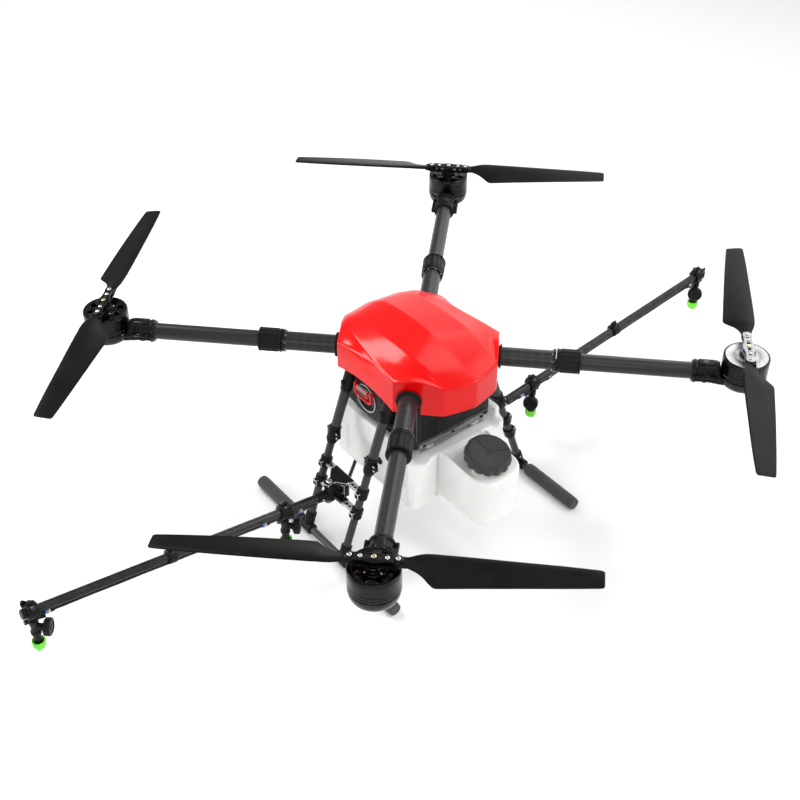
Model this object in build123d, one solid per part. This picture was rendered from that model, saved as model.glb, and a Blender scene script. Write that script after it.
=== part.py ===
from build123d import *
import math
import os

# Agricultural spray drone, four arms. Millimetres. +Z up, origin on the ground
# under the centre of the airframe, spray booms along X, skids along Y.

# ---------------------------------------------------------------- dimensions
MOTOR_R = 668.5          # centre to motor axis
ARM_Z = 423.0            # arm tube axis above ground
BLADE_Z = 486.0          # propeller blade plane
PROP_R = 381.0           # propeller radius, 762 mm diameter

INNER_TUBE_R = 20.0
INNER_TUBE_BORE = 18.0
INNER_START = 45.0
INNER_END = 280.0
OUTER_TUBE_R = 17.5
OUTER_TUBE_BORE = 15.5
OUTER_START = 300.0
OUTER_END = 619.0

FOLD_R = 292.0           # arm hinge distance from centre
FOLD_Z = ARM_Z - 11.0    # arm hinge height
KNUCKLE_R = 5.5
PIN_R = 2.5
RUN = 0.05               # radial running clearance
LEAF_START = 293.5       # inner face of the folding half of the hinge

NUT_IN = 288.5
NUT_OUT = 338.0
NUT_R = 25.0
NUT_BORE = 22.3

BELL_R = 47.0
BELL_Z0 = 427.0
BELL_Z1 = 471.0
CUP_Z0 = 401.0
CUP_Z1 = 425.0
PIVOT = 41.0             # blade bolt distance from motor axis
PLATE_T = 3.2
ROOT_T = 8.0

BAY_X = 104.0
BAY_Y = 118.0
BAY_Z0 = 278.0
PLATE_LOW = 398.5
PLATE_HIGH = 445.0
PLATE_THICK = 2.5

BATT_Y = 50.0
BATT_Z0 = 306.0
BATT_Z1 = 386.0
BATT_X0 = -128.0
BATT_X1 = 78.0

TANK_X = 130.0
TANK_Y0 = -147.0
TANK_Y1 = 135.0
TANK_Z0 = 141.0
TANK_TOP = 264.0
TANK_SHOULDER = 287.0
TANK_WALL = 3.0
CAP_Y = -233.0
CAP_Z = 303.0
CAP_TILT = 12.0
CAP_R = 50.0

LEG_Y = 66.0
LEG_X_TOP = 132.0
LEG_Z_TOP = 374.0
SKID_X = 257.0
SKID_Z = 15.0
SKID_R = 8.0
FOAM_R = 15.0
LEG_R_UP = 10.5
LEG_R_LOW = 8.5
LEG_SLOPE = (SKID_X - LEG_X_TOP) / (LEG_Z_TOP - SKID_Z)

BOOM_PIVOT_X = 236.0
BOOM_Y = 5.0
BOOM_Z = 145.5
BOOM_RISE = 7.8          # degrees
BOOM_R = 9.0
BOOM_LEN = 694.0
NOZZLE_AT = (117.0, 679.0)

ARMS = {"fl": 225.0, "fr": 315.0, "rr": 45.0, "rl": 135.0}
SPIN_CCW = {"fl": True, "fr": False, "rr": True, "rl": False}

os.makedirs("parts", exist_ok=True)


# ------------------------------------------------------------------- helpers
def save(name, *solids):
    flat = []
    for s in solids:
        flat += list(s.solids())
    shape = flat[0] if len(flat) == 1 else Compound(children=flat)
    shape.label = name
    export_step(shape, "parts/" + name + ".step")
    print(name, len(flat))


def rod(a, b, r):
    """Round bar from point a to point b."""
    a = Vector(*a)
    b = Vector(*b)
    d = b - a
    return extrude(Plane(origin=a, z_dir=d.normalized()) * Circle(r), amount=d.length)


def pipe(a, b, r, bore):
    """Tube from a to b with open ends."""
    a = Vector(*a)
    b = Vector(*b)
    d = (b - a).normalized()
    return rod(a, b, r) - rod(a - d, b + d, bore)


def block(x0, x1, y0, y1, z0, z1):
    c = Box(x1 - x0, y1 - y0, z1 - z0)
    return Pos((x0 + x1) / 2, (y0 + y1) / 2, (z0 + z1) / 2) * c


def disc(x, y, z0, z1, r):
    return rod((x, y, z0), (x, y, z1), r)


def ring(x, y, z0, z1, r, bore):
    return pipe((x, y, z0), (x, y, z1), r, bore)


def around(az, shape):
    return Rot(0, 0, az) * shape


def ngon_plate(points, z0, z1):
    face = make_face(Polyline(*[(x, y, z0) for x, y in points], close=True))
    return extrude(face, amount=z1 - z0, dir=(0, 0, 1))


def mesh_solid(points, triangles):
    faces = []
    for t in triangles:
        faces.append(Face(Wire.make_polygon([Vector(*points[i]) for i in t], close=True)))
    return Solid(Shell(faces))


# ----------------------------------------------------------------- top cover
# Half outline of the cover, from the nose round the -X side to the tail: x, y, crease height.
COVER_RIM_Z = 389.0
HALF = [(0, -187, 453), (-70, -170, 458), (-106, -134, 476), (-141, -97, 462), (-141, 0, 463),
        (-141, 97, 458), (-106, 134, 465), (-70, 170, 454), (0, 187, 450)]
# Ridge points on the roof: centre ridge, side ridge, outer ridge.
CENTRE = [(0, -120, 481), (0, -60, 494), (0, 40, 494), (0, 125, 482)]
SIDE = [(-69, -143, 464), (-78, -74, 486), (-77, 40, 487), (-70, 122, 480)]
OUTER = [(-124, -10, 470), (-106, 98, 471)]


def cover_shell(shrink, drop, base_z):
    """Closed faceted body under the cover skin; shrink is a plan scale, drop lowers the roof."""
    half = [(x * shrink, y * shrink, z - drop) for x, y, z in HALF]
    roof = [(x * shrink, y * shrink, z - drop) for x, y, z in CENTRE + SIDE + OUTER]
    pts = list(half)                               # 0..8 crease, -X side
    pts += [(-x, y, z) for x, y, z in half[1:8]]   # 9..15 crease, +X side
    loop = list(range(9)) + [15, 14, 13, 12, 11, 10, 9]
    base = len(pts)
    pts += [(pts[i][0], pts[i][1], base_z) for i in loop]
    roof_l = len(pts)
    pts += roof
    roof_r = len(pts)
    pts += [(-x, y, z) for x, y, z in roof[4:]]
    pts.append((0, 0, base_z))
    tris = []
    k = len(loop)
    for i in range(k):
        j = (i + 1) % k
        tris.append((loop[i], base + i, base + j))
        tris.append((loop[i], base + j, loop[j]))
        tris.append((base + i, len(pts) - 1, base + j))
    c = [roof_l + i for i in range(4)]
    for side in (0, 1):
        e = list(range(9)) if side == 0 else [0] + list(range(9, 16)) + [8]
        s = [roof_l + 4 + i for i in range(4)] if side == 0 else [roof_r + i for i in range(4)]
        o = [roof_l + 8 + i for i in range(2)] if side == 0 else [roof_r + 4 + i for i in range(2)]
        tris += [(e[0], e[1], s[0]), (e[0], s[0], c[0]), (c[0], s[0], s[1]), (c[0], s[1], c[1]),
                 (c[1], s[1], s[2]), (c[1], s[2], c[2]), (c[2], s[2], s[3]), (c[2], s[3], c[3]),
                 (c[3], s[3], e[8]), (s[3], e[7], e[8]), (e[1], e[2], s[0]), (s[0], e[2], s[1]),
                 (e[2], e[3], s[1]), (e[3], o[0], s[1]), (s[1], o[0], s[2]), (e[3], e[4], o[0]),
                 (e[4], e[5], o[0]), (o[0], e[5], o[1]), (o[0], o[1], s[2]), (s[2], o[1], s[3]),
                 (e[5], e[6], o[1]), (o[1], e[6], s[3]), (s[3], e[6], e[7])]
    return mesh_solid(pts, tris)


cover = cover_shell(1.0, 0.0, COVER_RIM_Z) - cover_shell(0.979, 3.2, COVER_RIM_Z - 5)
ARCH_R = 321.0
for sx in (-1, 1):
    arch = rod((sx * 120, 0, 404 - ARCH_R), (sx * 160, 0, 404 - ARCH_R), ARCH_R)
    cover = cover - arch
for az in ARMS.values():
    slot = rod((120, 0, ARM_Z), (200, 0, ARM_Z), 24.0) + block(120, 200, -24, 24, 380, ARM_Z)
    cover = cover - around(az, slot)
for x, y in ((-62, -85), (62, -85), (-62, 85), (62, 85)):
    boss = disc(x, y, PLATE_HIGH + PLATE_THICK, 484.6, 6.0)
    cover = cover + (boss - cover)
save("top_cover", cover)

# ------------------------------------------------------------- centre plates
PLATE_HALF = [(0, -176), (-64, -160), (-131, -92), (-131, 92), (-64, 160), (0, 176)]
plate_pts = PLATE_HALF + [(-x, y) for x, y in PLATE_HALF[-2:0:-1]]
upper = ngon_plate(plate_pts, PLATE_HIGH, PLATE_HIGH + PLATE_THICK)
lower = ngon_plate(plate_pts, PLATE_LOW, PLATE_LOW + PLATE_THICK)
for y in (-105, 105):
    upper = upper - block(-24, 24, y - 16, y + 16, PLATE_HIGH - 1, PLATE_HIGH + 4)
save("upper_plate", upper)
save("lower_plate", lower)

# ---------------------------------------------------------------- inner arms
tubes = []
sockets = []
pins = []
clamps = []
grommets = []
for az in ARMS.values():
    tubes.append(around(az, pipe((INNER_START, 0, ARM_Z), (INNER_END, 0, ARM_Z),
                                 INNER_TUBE_R, INNER_TUBE_BORE)))
    # Socket: plug in the tube, flange against the lock nut, two ears on the hinge pin.
    s = rod((250, 0, ARM_Z), (INNER_END, 0, ARM_Z), INNER_TUBE_BORE)
    s += rod((INNER_END, 0, ARM_Z), (286.5, 0, ARM_Z), 24.0)
    s += rod((286.5, 0, ARM_Z), (290.5, 0, ARM_Z), 19.0)
    for t in (-1, 1):
        ear = rod((FOLD_R, t * 5.5, FOLD_Z), (FOLD_R, t * 12.5, FOLD_Z), KNUCKLE_R)
        y0, y1 = sorted((t * 5.5, t * 12.5))
        ear += block(286.5, FOLD_R, y0, y1, FOLD_Z - KNUCKLE_R, FOLD_Z + KNUCKLE_R)
        s += ear
    s -= rod((FOLD_R, -5.5, FOLD_Z), (FOLD_R, 5.5, FOLD_Z), KNUCKLE_R + 1.6)
    s -= rod((FOLD_R, -20, FOLD_Z), (FOLD_R, 20, FOLD_Z), PIN_R)
    s -= rod((240, 0, ARM_Z + 2), (300, 0, ARM_Z + 2), 9.0)
    sockets.append(around(az, s))
    pins.append(around(az, rod((FOLD_R, -13.5, FOLD_Z), (FOLD_R, 13.5, FOLD_Z), PIN_R)))
    for r in (70, 125):
        c = block(r - 11, r + 11, -27, 27, PLATE_LOW + PLATE_THICK, PLATE_HIGH)
        c -= rod((r - 20, 0, ARM_Z), (r + 20, 0, ARM_Z), INNER_TUBE_R)
        if r == 70:
            c = c & block(59, 81, -24, 24, 390, 450)
        clamps.append(around(az, c))
    g = pipe((163, 0, ARM_Z), (166.5, 0, ARM_Z), 23.4, INNER_TUBE_R)
    g += pipe((170.6, 0, ARM_Z), (174.5, 0, ARM_Z), 26.5, INNER_TUBE_R)
    g += pipe((163, 0, ARM_Z), (174.5, 0, ARM_Z), 22.8, INNER_TUBE_R)
    grommets.append(around(az, g))
save("inner_arm_tubes", *tubes)
save("hinge_sockets", *sockets)
save("hinge_pins", *pins)
save("arm_clamps", *clamps)
save("arm_grommets", *grommets)

# ---------------------------------------------------------------- outer arms
STATIONS = [  # radius, leading offset, trailing offset, thickness, pitch in degrees
    (53, 10.5, -10.5, 7.4, 3), (62, 13, -13, 7.4, 8), (72, 17, -17, 7.2, 12), (84, 20, -25, 7.0, 14.5),
    (95, 21, -36, 6.7, 15), (103, 21.5, -42.5, 6.4, 14.5), (110, 21.5, -43, 6.2, 14),
    (160, 22, -38.5, 5.2, 12), (230, 22, -32, 4.4, 9.5), (310, 22, -24, 3.4, 7.5),
    (360, 21, -18.5, 2.6, 6.5), (PROP_R - 3, 20, -16, 2.0, 6), (PROP_R, 17, -13, 1.4, 6)]
OUTLINE = [(0.0, 0.0), (0.06, 0.75), (0.2, 1.0), (0.45, 0.9), (0.75, 0.45), (1.0, 0.12),
           (1.0, -0.08), (0.7, -0.1), (0.35, -0.25), (0.1, -0.35)]


def blade(az, end, ccw):
    """One folding blade in the arm frame; end +1 lies along the tangent, -1 against it."""
    lead = -1.0 if ccw else 1.0
    sections = []
    for r, le, te, t, pitch in STATIONS:
        a = math.radians(pitch)
        pts = []
        for u, v in OUTLINE:
            c = le + (te - le) * u
            h = v * t * 0.72
            x = lead * (c * math.cos(a) - h * math.sin(a))
            z = c * math.sin(a) + h * math.cos(a)
            pts.append((MOTOR_R + end * x, end * r, BLADE_Z + z - 0.5))
        sections.append(make_face(Polyline(*pts, close=True)))
    body = loft(sections, ruled=True)
    root = disc(MOTOR_R, end * PIVOT, BLADE_Z - ROOT_T / 2, BLADE_Z + ROOT_T / 2, 10.5)
    y0, y1 = sorted((end * PIVOT, end * 54.5))
    root += block(MOTOR_R - 10.5, MOTOR_R + 10.5, y0, y1, BLADE_Z - ROOT_T / 2, BLADE_Z + ROOT_T / 2)
    whole = root + body
    whole -= disc(MOTOR_R, end * PIVOT, BLADE_Z - 10, BLADE_Z + 10, PIN_R + RUN)
    return around(az, whole)


def outer_arm():
    tube = pipe((OUTER_START, 0, ARM_Z), (OUTER_END, 0, ARM_Z), OUTER_TUBE_R, OUTER_TUBE_BORE)
    leaf = rod((LEAF_START, 0, ARM_Z), (OUTER_START, 0, ARM_Z), 19.5)
    leaf -= block(LEAF_START - 1, OUTER_START, -25, 25, ARM_Z - 25, FOLD_Z)
    leaf += rod((OUTER_START, 0, ARM_Z), (340, 0, ARM_Z), OUTER_TUBE_BORE)
    knuckle = rod((FOLD_R, -5.0, FOLD_Z), (FOLD_R, 5.0, FOLD_Z), KNUCKLE_R)
    knuckle += block(FOLD_R, OUTER_START, -5, 5, FOLD_Z - 4.0, FOLD_Z + KNUCKLE_R)
    leaf += knuckle
    for y0, y1 in ((-13.2, -5.0), (5.0, 13.2)):
        leaf -= rod((FOLD_R, y0, FOLD_Z), (FOLD_R, y1, FOLD_Z), KNUCKLE_R + 0.6)
    leaf -= rod((FOLD_R, -20, FOLD_Z), (FOLD_R, 20, FOLD_Z), PIN_R + RUN)
    leaf -= rod((285, 0, ARM_Z + 2), (350, 0, ARM_Z + 2), 9.0)
    return tube, leaf


def lock_nut():
    n = rod((NUT_IN, 0, ARM_Z), (NUT_OUT, 0, ARM_Z), 23.8)
    n += rod((NUT_IN, 0, ARM_Z), (NUT_IN + 4, 0, ARM_Z), NUT_R)
    n += rod((332.5, 0, ARM_Z), (NUT_OUT - 1.5, 0, ARM_Z), NUT_R + 1.0)
    for i in range(14):
        a = 2 * math.pi * i / 14
        y = 23.4 * math.cos(a)
        z = ARM_Z + 23.4 * math.sin(a)
        n += rod((297, y, z), (333, y, z), 2.0)
    n -= rod((NUT_IN - 5, 0, ARM_Z), (331, 0, ARM_Z), NUT_BORE)
    n -= rod((325, 0, ARM_Z), (345, 0, ARM_Z), OUTER_TUBE_R + 0.4)
    return n


def motor_mount():
    base = disc(MOTOR_R, 0, CUP_Z0, CUP_Z1, BELL_R)
    base = fillet(base.edges().group_by(Axis.Z)[0], 9.0)
    neck = block(600, MOTOR_R - 20, -21, 21, 404, CUP_Z1 - 2)
    clamp = rod((564, 0, ARM_Z), (621, 0, ARM_Z), 22.5)
    clamp += block(564, 619, -31, 31, ARM_Z - 4.5, ARM_Z + 4.5)
    for r in (570, 591, 612):
        clamp += rod((r - 3, 0, ARM_Z), (r + 3, 0, ARM_Z), 24.5)
    low = (clamp & block(560, 625, -40, 40, 380, ARM_Z - 0.6)) + neck + base
    low -= rod((550, 0, ARM_Z), (OUTER_END, 0, ARM_Z), OUTER_TUBE_R)
    low -= disc(MOTOR_R, 0, CUP_Z0 - 1, CUP_Z1 + 1, 9.0)
    top = clamp & block(560, 618.5, -40, 40, ARM_Z + 0.6, 470)
    top += block(580, 602, -9, 9, ARM_Z + 19, ARM_Z + 26)
    top -= rod((550, 0, ARM_Z), (640, 0, ARM_Z), OUTER_TUBE_R)
    stator = disc(MOTOR_R, 0, 431, 462, 40.0) + disc(MOTOR_R, 0, CUP_Z1, 466, 13.0)
    stator -= disc(MOTOR_R, 0, 420, 470, 4.0 + RUN)
    for i in range(12):
        a = math.radians(30 * i)
        x = MOTOR_R + 38.5 * math.cos(a)
        y = 38.5 * math.sin(a)
        stator -= disc(x, y, 430, 463, 4.0)
    bolts = []
    for r in (577, 605):
        for y in (-27, 27):
            head = disc(r, y, ARM_Z + 4.5, ARM_Z + 8.0, 3.4)
            bolts.append(head)
    return [low, top, stator] + bolts


def motor_bell():
    b = disc(MOTOR_R, 0, BELL_Z0, BELL_Z1, BELL_R)
    b = fillet(b.edges().group_by(Axis.Z)[-1], 2.5)
    b -= disc(MOTOR_R, 0, BELL_Z0 - 1, 467, 43.5)
    b += disc(MOTOR_R, 0, 428.5, 468, 4.0)
    for i in range(8):
        a = math.radians(45 * i + 22.5)
        x = MOTOR_R + 31 * math.cos(a)
        y = 31 * math.sin(a)
        b -= disc(x, y, 460, 480, 6.0)
    b -= ring(MOTOR_R, 0, 440.2, 441.6, BELL_R + 1, BELL_R - 0.7)
    return b


def hub_plate(z0):
    p = block(MOTOR_R - 8.5, MOTOR_R + 8.5, -PIVOT, PIVOT, z0, z0 + PLATE_T)
    p += disc(MOTOR_R, 0, z0, z0 + PLATE_T, 13.5)
    for e in (-1, 1):
        p += disc(MOTOR_R, e * PIVOT, z0, z0 + PLATE_T, 10.0)
    return p


def prop_hub():
    z_low = BLADE_Z - ROOT_T / 2 - 0.3 - PLATE_T
    z_top = BLADE_Z + ROOT_T / 2 + 0.3
    low = hub_plate(z_low) + disc(MOTOR_R, 0, BELL_Z1, z_low, 16.0)
    low += disc(MOTOR_R, 0, z_low, z_top, 11.0)
    for e in (-1, 1):
        low += disc(MOTOR_R, e * 23, z_low, z_top, 4.5)
    top = hub_plate(z_top) - disc(MOTOR_R, 0, z_top - 1, z_top + 9, 5.0)
    parts = [low]
    cap = disc(MOTOR_R, 0, z_top, z_top + PLATE_T + 2.0, 5.0)
    for e in (-1, 1):
        low_hole = disc(MOTOR_R, e * PIVOT, z_low - 1, z_low + 9, PIN_R)
        parts[0] = parts[0] - low_hole
        top = top - disc(MOTOR_R, e * PIVOT, z_top - 1, z_top + 9, PIN_R)
    parts.append(top)
    parts.append(cap)
    for e in (-1, 1):
        bolt = disc(MOTOR_R, e * PIVOT, z_low, z_top + PLATE_T, PIN_R)
        bolt += disc(MOTOR_R, e * PIVOT, z_top + PLATE_T, z_top + PLATE_T + 3.0, 4.5)
        parts.append(bolt)
        parts.append(disc(MOTOR_R, e * 23, z_top + PLATE_T, z_top + PLATE_T + 2.5, 4.0))
    return parts


TUBE, LEAF = outer_arm()
NUT = lock_nut()
MOUNT = motor_mount()
BELL = motor_bell()
HUB = prop_hub()
for key, az in ARMS.items():
    save("outer_arm_" + key, around(az, TUBE), around(az, LEAF))
    save("lock_nut_" + key, around(az, NUT))
    save("motor_mount_" + key, *[around(az, s) for s in MOUNT])
    save("motor_bell_" + key, around(az, BELL))
    save("prop_hub_" + key, *[around(az, s) for s in HUB])
    save("blade_a_" + key, blade(az, 1, SPIN_CCW[key]))
    save("blade_b_" + key, blade(az, -1, SPIN_CCW[key]))

# --------------------------------------------------------------- battery bay
bay = block(-BAY_X, BAY_X, -BAY_Y, BAY_Y, BAY_Z0, PLATE_LOW)
vertical = bay.edges().filter_by(Axis.Z)
bay = fillet(vertical, 10.0)
bay -= block(-BAY_X + 3, BAY_X - 3, -BAY_Y + 3, -BATT_Y - 4, BAY_Z0 + 3, PLATE_LOW + 1)
bay -= block(-BAY_X + 3, BAY_X - 3, BATT_Y + 4, BAY_Y - 3, BAY_Z0 + 3, PLATE_LOW + 1)
bay -= block(-BAY_X - 1, BATT_X1 + 0.5, -BATT_Y - 1, BATT_Y + 1, BATT_Z0 - 0.5, BATT_Z1 + 0.8)
bay -= block(-BAY_X + 3, BAY_X - 3, -BATT_Y - 1, BATT_Y + 1, BATT_Z1 + 3.5, PLATE_LOW + 1)
bay -= block(-BAY_X + 3, BAY_X - 3, -BATT_Y - 1, BATT_Y + 1, BAY_Z0 + 3, BATT_Z0 - 3.5)
# Flat trim strip along the lower front edge.
bay += block(-92, 84, -BAY_Y - 4, -BAY_Y, BAY_Z0, BAY_Z0 + 12)
save("battery_bay", bay)

batt = block(BATT_X0 + 4, BATT_X1, -BATT_Y, BATT_Y, BATT_Z0, BATT_Z1)
batt = fillet(batt.edges().filter_by(Axis.X), 5.0)
plate = block(BATT_X0, BATT_X0 + 4, -BATT_Y, BATT_Y, BATT_Z0, BATT_Z1)
batt += fillet(plate.edges().filter_by(Axis.X), 9.0)
ring_trim = pipe((BATT_X0 - 2.5, 2, 347), (BATT_X0, 2, 347), 33.0, 30.5)

# Red pull loop with the grey plug it surrounds.
loop_y0, loop_y1 = -20.0, 40.0
strap = block(BATT_X0 - 9, BATT_X0, loop_y0, loop_y1, 345, 369)
strap -= block(BATT_X0 - 10, BATT_X0 + 1, loop_y0 + 4.5, loop_y1 + 1, 350, 370)
plug = block(BATT_X0 - 13, BATT_X0, loop_y0 + 8, loop_y1 - 8, 353, 371)
plug = fillet(plug.edges().filter_by(Axis.X), 2.0)
strap -= plug
ring_trim -= strap
ring_trim -= plug
save("battery_handle", strap, plug)
save("battery", batt, ring_trim)

# ---------------------------------------------------------------- water tank
def tank_body(w):
    """Tank outline drawn in by the wall thickness w."""
    t = block(-TANK_X + w, TANK_X - w, TANK_Y0 + w, TANK_Y1 - w, TANK_Z0 + w, TANK_TOP - w)
    if w == 0:
        t = fillet(t.edges().filter_by(Axis.Z), 16.0)
    for sx in (-1, 1):
        x0, x1 = sorted((sx * (107.5 + w), sx * (TANK_X - w)))
        s = block(x0, x1, TANK_Y0 + 22 + w, TANK_Y1 - 22 - w, TANK_TOP - 20, TANK_SHOULDER - w)
        t += s
    nose = block(-58 + w, 58 - w, -287 + w, TANK_Y0 + 20, 150 + w, 310)
    if w == 0:
        front = nose.edges().filter_by(Axis.Z).group_by(Axis.Y)[0]
        nose = fillet(front, 34.0)
    cut = Pos(0, CAP_Y, CAP_Z - 27 - w) * (Rot(CAP_TILT, 0, 0) * Pos(0, 0, 60) * Box(200, 400, 120))
    nose -= cut
    nose -= block(-70, 70, TANK_Y0 + 4 - w, 0, TANK_TOP - w, 330)
    t += nose
    return t


cap_axis = Vector(0, -math.sin(math.radians(CAP_TILT)), math.cos(math.radians(CAP_TILT)))
cap_top = Vector(0, CAP_Y, CAP_Z)


def on_cap(a, b, r):
    return rod(cap_top + cap_axis * a, cap_top + cap_axis * b, r)


tank = tank_body(0) - tank_body(TANK_WALL)
tank += on_cap(-30.0, -6.0, 36.0) - tank_body(TANK_WALL)
tank -= on_cap(-34.0, -5.0, 32.0)
# T-shaped lugs that hang in the two rails.
for sx in (-1, 1):
    lug = block(sx * 62 - 4, sx * 62 + 4, -120, 110, TANK_TOP - 1, 269.0)
    lug += block(sx * 62 - 9, sx * 62 + 9, -120, 110, 269.0, 273.5)
    tank += lug
save("water_tank", tank)

cap = disc(0, 0, -22.0, 0.0, CAP_R - 2.5)
cap = fillet(cap.edges().group_by(Axis.Z)[-1], 3.0)
for i in range(18):
    a = 2 * math.pi * i / 18
    x = (CAP_R - 3.0) * math.cos(a)
    y = (CAP_R - 3.0) * math.sin(a)
    cap += disc(x, y, -21.0, -4.0, 3.0)
cap -= disc(0, 0, -23.0, -4.5, 36.4)
cap = Pos(0, CAP_Y, CAP_Z) * (Rot(CAP_TILT, 0, 0) * cap)
save("filler_cap", cap)

rails = []
for sx in (-1, 1):
    r = block(sx * 62 - 13, sx * 62 + 13, -BAY_Y, 112, 265.5, BAY_Z0)
    r -= block(sx * 62 - 9.6, sx * 62 + 9.6, -BAY_Y - 1, 110.6, 268.4, 274.2)
    r -= block(sx * 62 - 4.6, sx * 62 + 4.6, -BAY_Y - 1, 110.6, 264.0, 269.0)
    rails.append(r)
save("tank_rails", *rails)


# -------------------------------------------------------------- landing gear
def leg_x(z):
    return LEG_X_TOP + (LEG_Z_TOP - z) * LEG_SLOPE


def leg_point(sx, sy, z):
    return (sx * leg_x(z), sy * LEG_Y, z)


sleeves = []
leg_tubes = []
couplers = []
foams = []
tees = []
skids = []
for sx in (-1, 1):
    for sy in (-1, 1):
        foot = block(sx * 120.5 - 15.5, sx * 120.5 + 15.5, sy * LEG_Y - 17, sy * LEG_Y + 17, 393, PLATE_LOW)
        hold = rod(leg_point(sx, sy, 345), leg_point(sx, sy, 395), 13.0) + foot
        hold -= rod(leg_point(sx, sy, 340), leg_point(sx, sy, 388), LEG_R_UP)
        sleeves.append(hold & block(-200, 200, -200, 200, 330, PLATE_LOW))
        leg_tubes.append(pipe(leg_point(sx, sy, 243), leg_point(sx, sy, 388), LEG_R_UP, 8.6))
        leg_tubes.append(pipe(leg_point(sx, sy, 24), leg_point(sx, sy, 242), LEG_R_LOW, 6.8))
        c = rod(leg_point(sx, sy, 228), leg_point(sx, sy, 262), 13.2)
        c += rod(leg_point(sx, sy, 224), leg_point(sx, sy, 230), 11.0)
        ear_x = sx * leg_x(246)
        c += block(ear_x - 5, ear_x + 5, sy * LEG_Y - 19, sy * LEG_Y + 19, 236, 256)
        c -= rod(leg_point(sx, sy, 243), leg_point(sx, sy, 270), LEG_R_UP)
        c -= rod(leg_point(sx, sy, 220), leg_point(sx, sy, 243), LEG_R_LOW)
        couplers.append(c)
        tee = rod((sx * SKID_X, sy * LEG_Y - 18, SKID_Z), (sx * SKID_X, sy * LEG_Y + 18, SKID_Z), 12.5)
        tee += rod(leg_point(sx, sy, SKID_Z + 3), leg_point(sx, sy, 50), 12.0)
        tee -= rod((sx * SKID_X, sy * LEG_Y - 30, SKID_Z), (sx * SKID_X, sy * LEG_Y + 30, SKID_Z),
                   SKID_R)
        tee -= rod(leg_point(sx, sy, 24), leg_point(sx, sy, 60), LEG_R_LOW)
        tees.append(tee)
        f = pipe((sx * SKID_X, sy * 96, SKID_Z), (sx * SKID_X, sy * 252, SKID_Z), FOAM_R, SKID_R)
        foams.append(f)
    skids.append(pipe((sx * SKID_X, -247, SKID_Z), (sx * SKID_X, 247, SKID_Z), SKID_R, 6.2))
save("leg_sleeves", *sleeves)
save("leg_tubes", *leg_tubes)
save("leg_couplers", *couplers)
save("skid_tubes", *skids)
save("skid_foams", *foams)
save("skid_tees", *tees)

# -------------------------------------------------------------------- booms
PLATE_ZS = (128.0, 174.0)
PLATE_H = 6.0
brackets = []
for sx in (-1, 1):
    for z0 in PLATE_ZS:
        zc = z0 + PLATE_H / 2
        xl = leg_x(zc)
        x0, x1 = sorted((sx * (xl - 9), sx * (xl + 11)))
        bar = block(x0, x1, -LEG_Y - 14, LEG_Y + 14, z0, z0 + PLATE_H)
        for sy in (-1, 1):
            bar += rod(leg_point(sx, sy, zc - 8), leg_point(sx, sy, zc + 8), 13.0)
            bar -= rod(leg_point(sx, sy, zc - 30), leg_point(sx, sy, zc + 30), LEG_R_LOW)
        brackets.append(bar)
        x0, x1 = sorted((sx * (xl + 11), sx * BOOM_PIVOT_X))
        tongue = block(x0, x1, BOOM_Y - 14, BOOM_Y + 14, z0, z0 + PLATE_H)
        tongue += disc(sx * BOOM_PIVOT_X, BOOM_Y, z0, z0 + PLATE_H, 14.0)
        tongue -= disc(sx * BOOM_PIVOT_X, BOOM_Y, z0 - 1, z0 + 7, 4.0)
        brackets.append(tongue)
    xi = sx * 206
    brackets.append(block(xi - 7, xi + 7, BOOM_Y - 22, BOOM_Y + 22, PLATE_ZS[0] + 6, PLATE_ZS[1])
                    - block(xi + sx * 8 - 2, xi + sx * 8 + 2, -40, 40, 100, 200))
    brackets.append(disc(sx * BOOM_PIVOT_X, BOOM_Y, PLATE_ZS[0], PLATE_ZS[1] + PLATE_H, 4.0)
                    + disc(sx * BOOM_PIVOT_X, BOOM_Y, PLATE_ZS[1] + PLATE_H, PLATE_ZS[1] + 10, 7.0))
save("boom_brackets", *brackets)

RISE = math.radians(BOOM_RISE)


def boom_point(sx, s, side=0.0, drop=0.0):
    """Point s along the boom from its hinge, offset sideways in Y and down square to the tube."""
    x = BOOM_PIVOT_X + s * math.cos(RISE) + drop * math.sin(RISE)
    z = BOOM_Z + s * math.sin(RISE) - drop * math.cos(RISE)
    return (sx * x, BOOM_Y + side, z)


def boom_bar(sx, s0, s1, half_width, top, bottom):
    """Square bar along the boom; top and bottom are distances below the tube axis."""
    a = Vector(*boom_point(sx, s0, 0, (top + bottom) / 2))
    b = Vector(*boom_point(sx, s1, 0, (top + bottom) / 2))
    at = Plane(origin=a, x_dir=(0, 1, 0), z_dir=(b - a).normalized())
    return extrude(at * Rectangle(2 * half_width, bottom - top), amount=(b - a).length)


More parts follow.
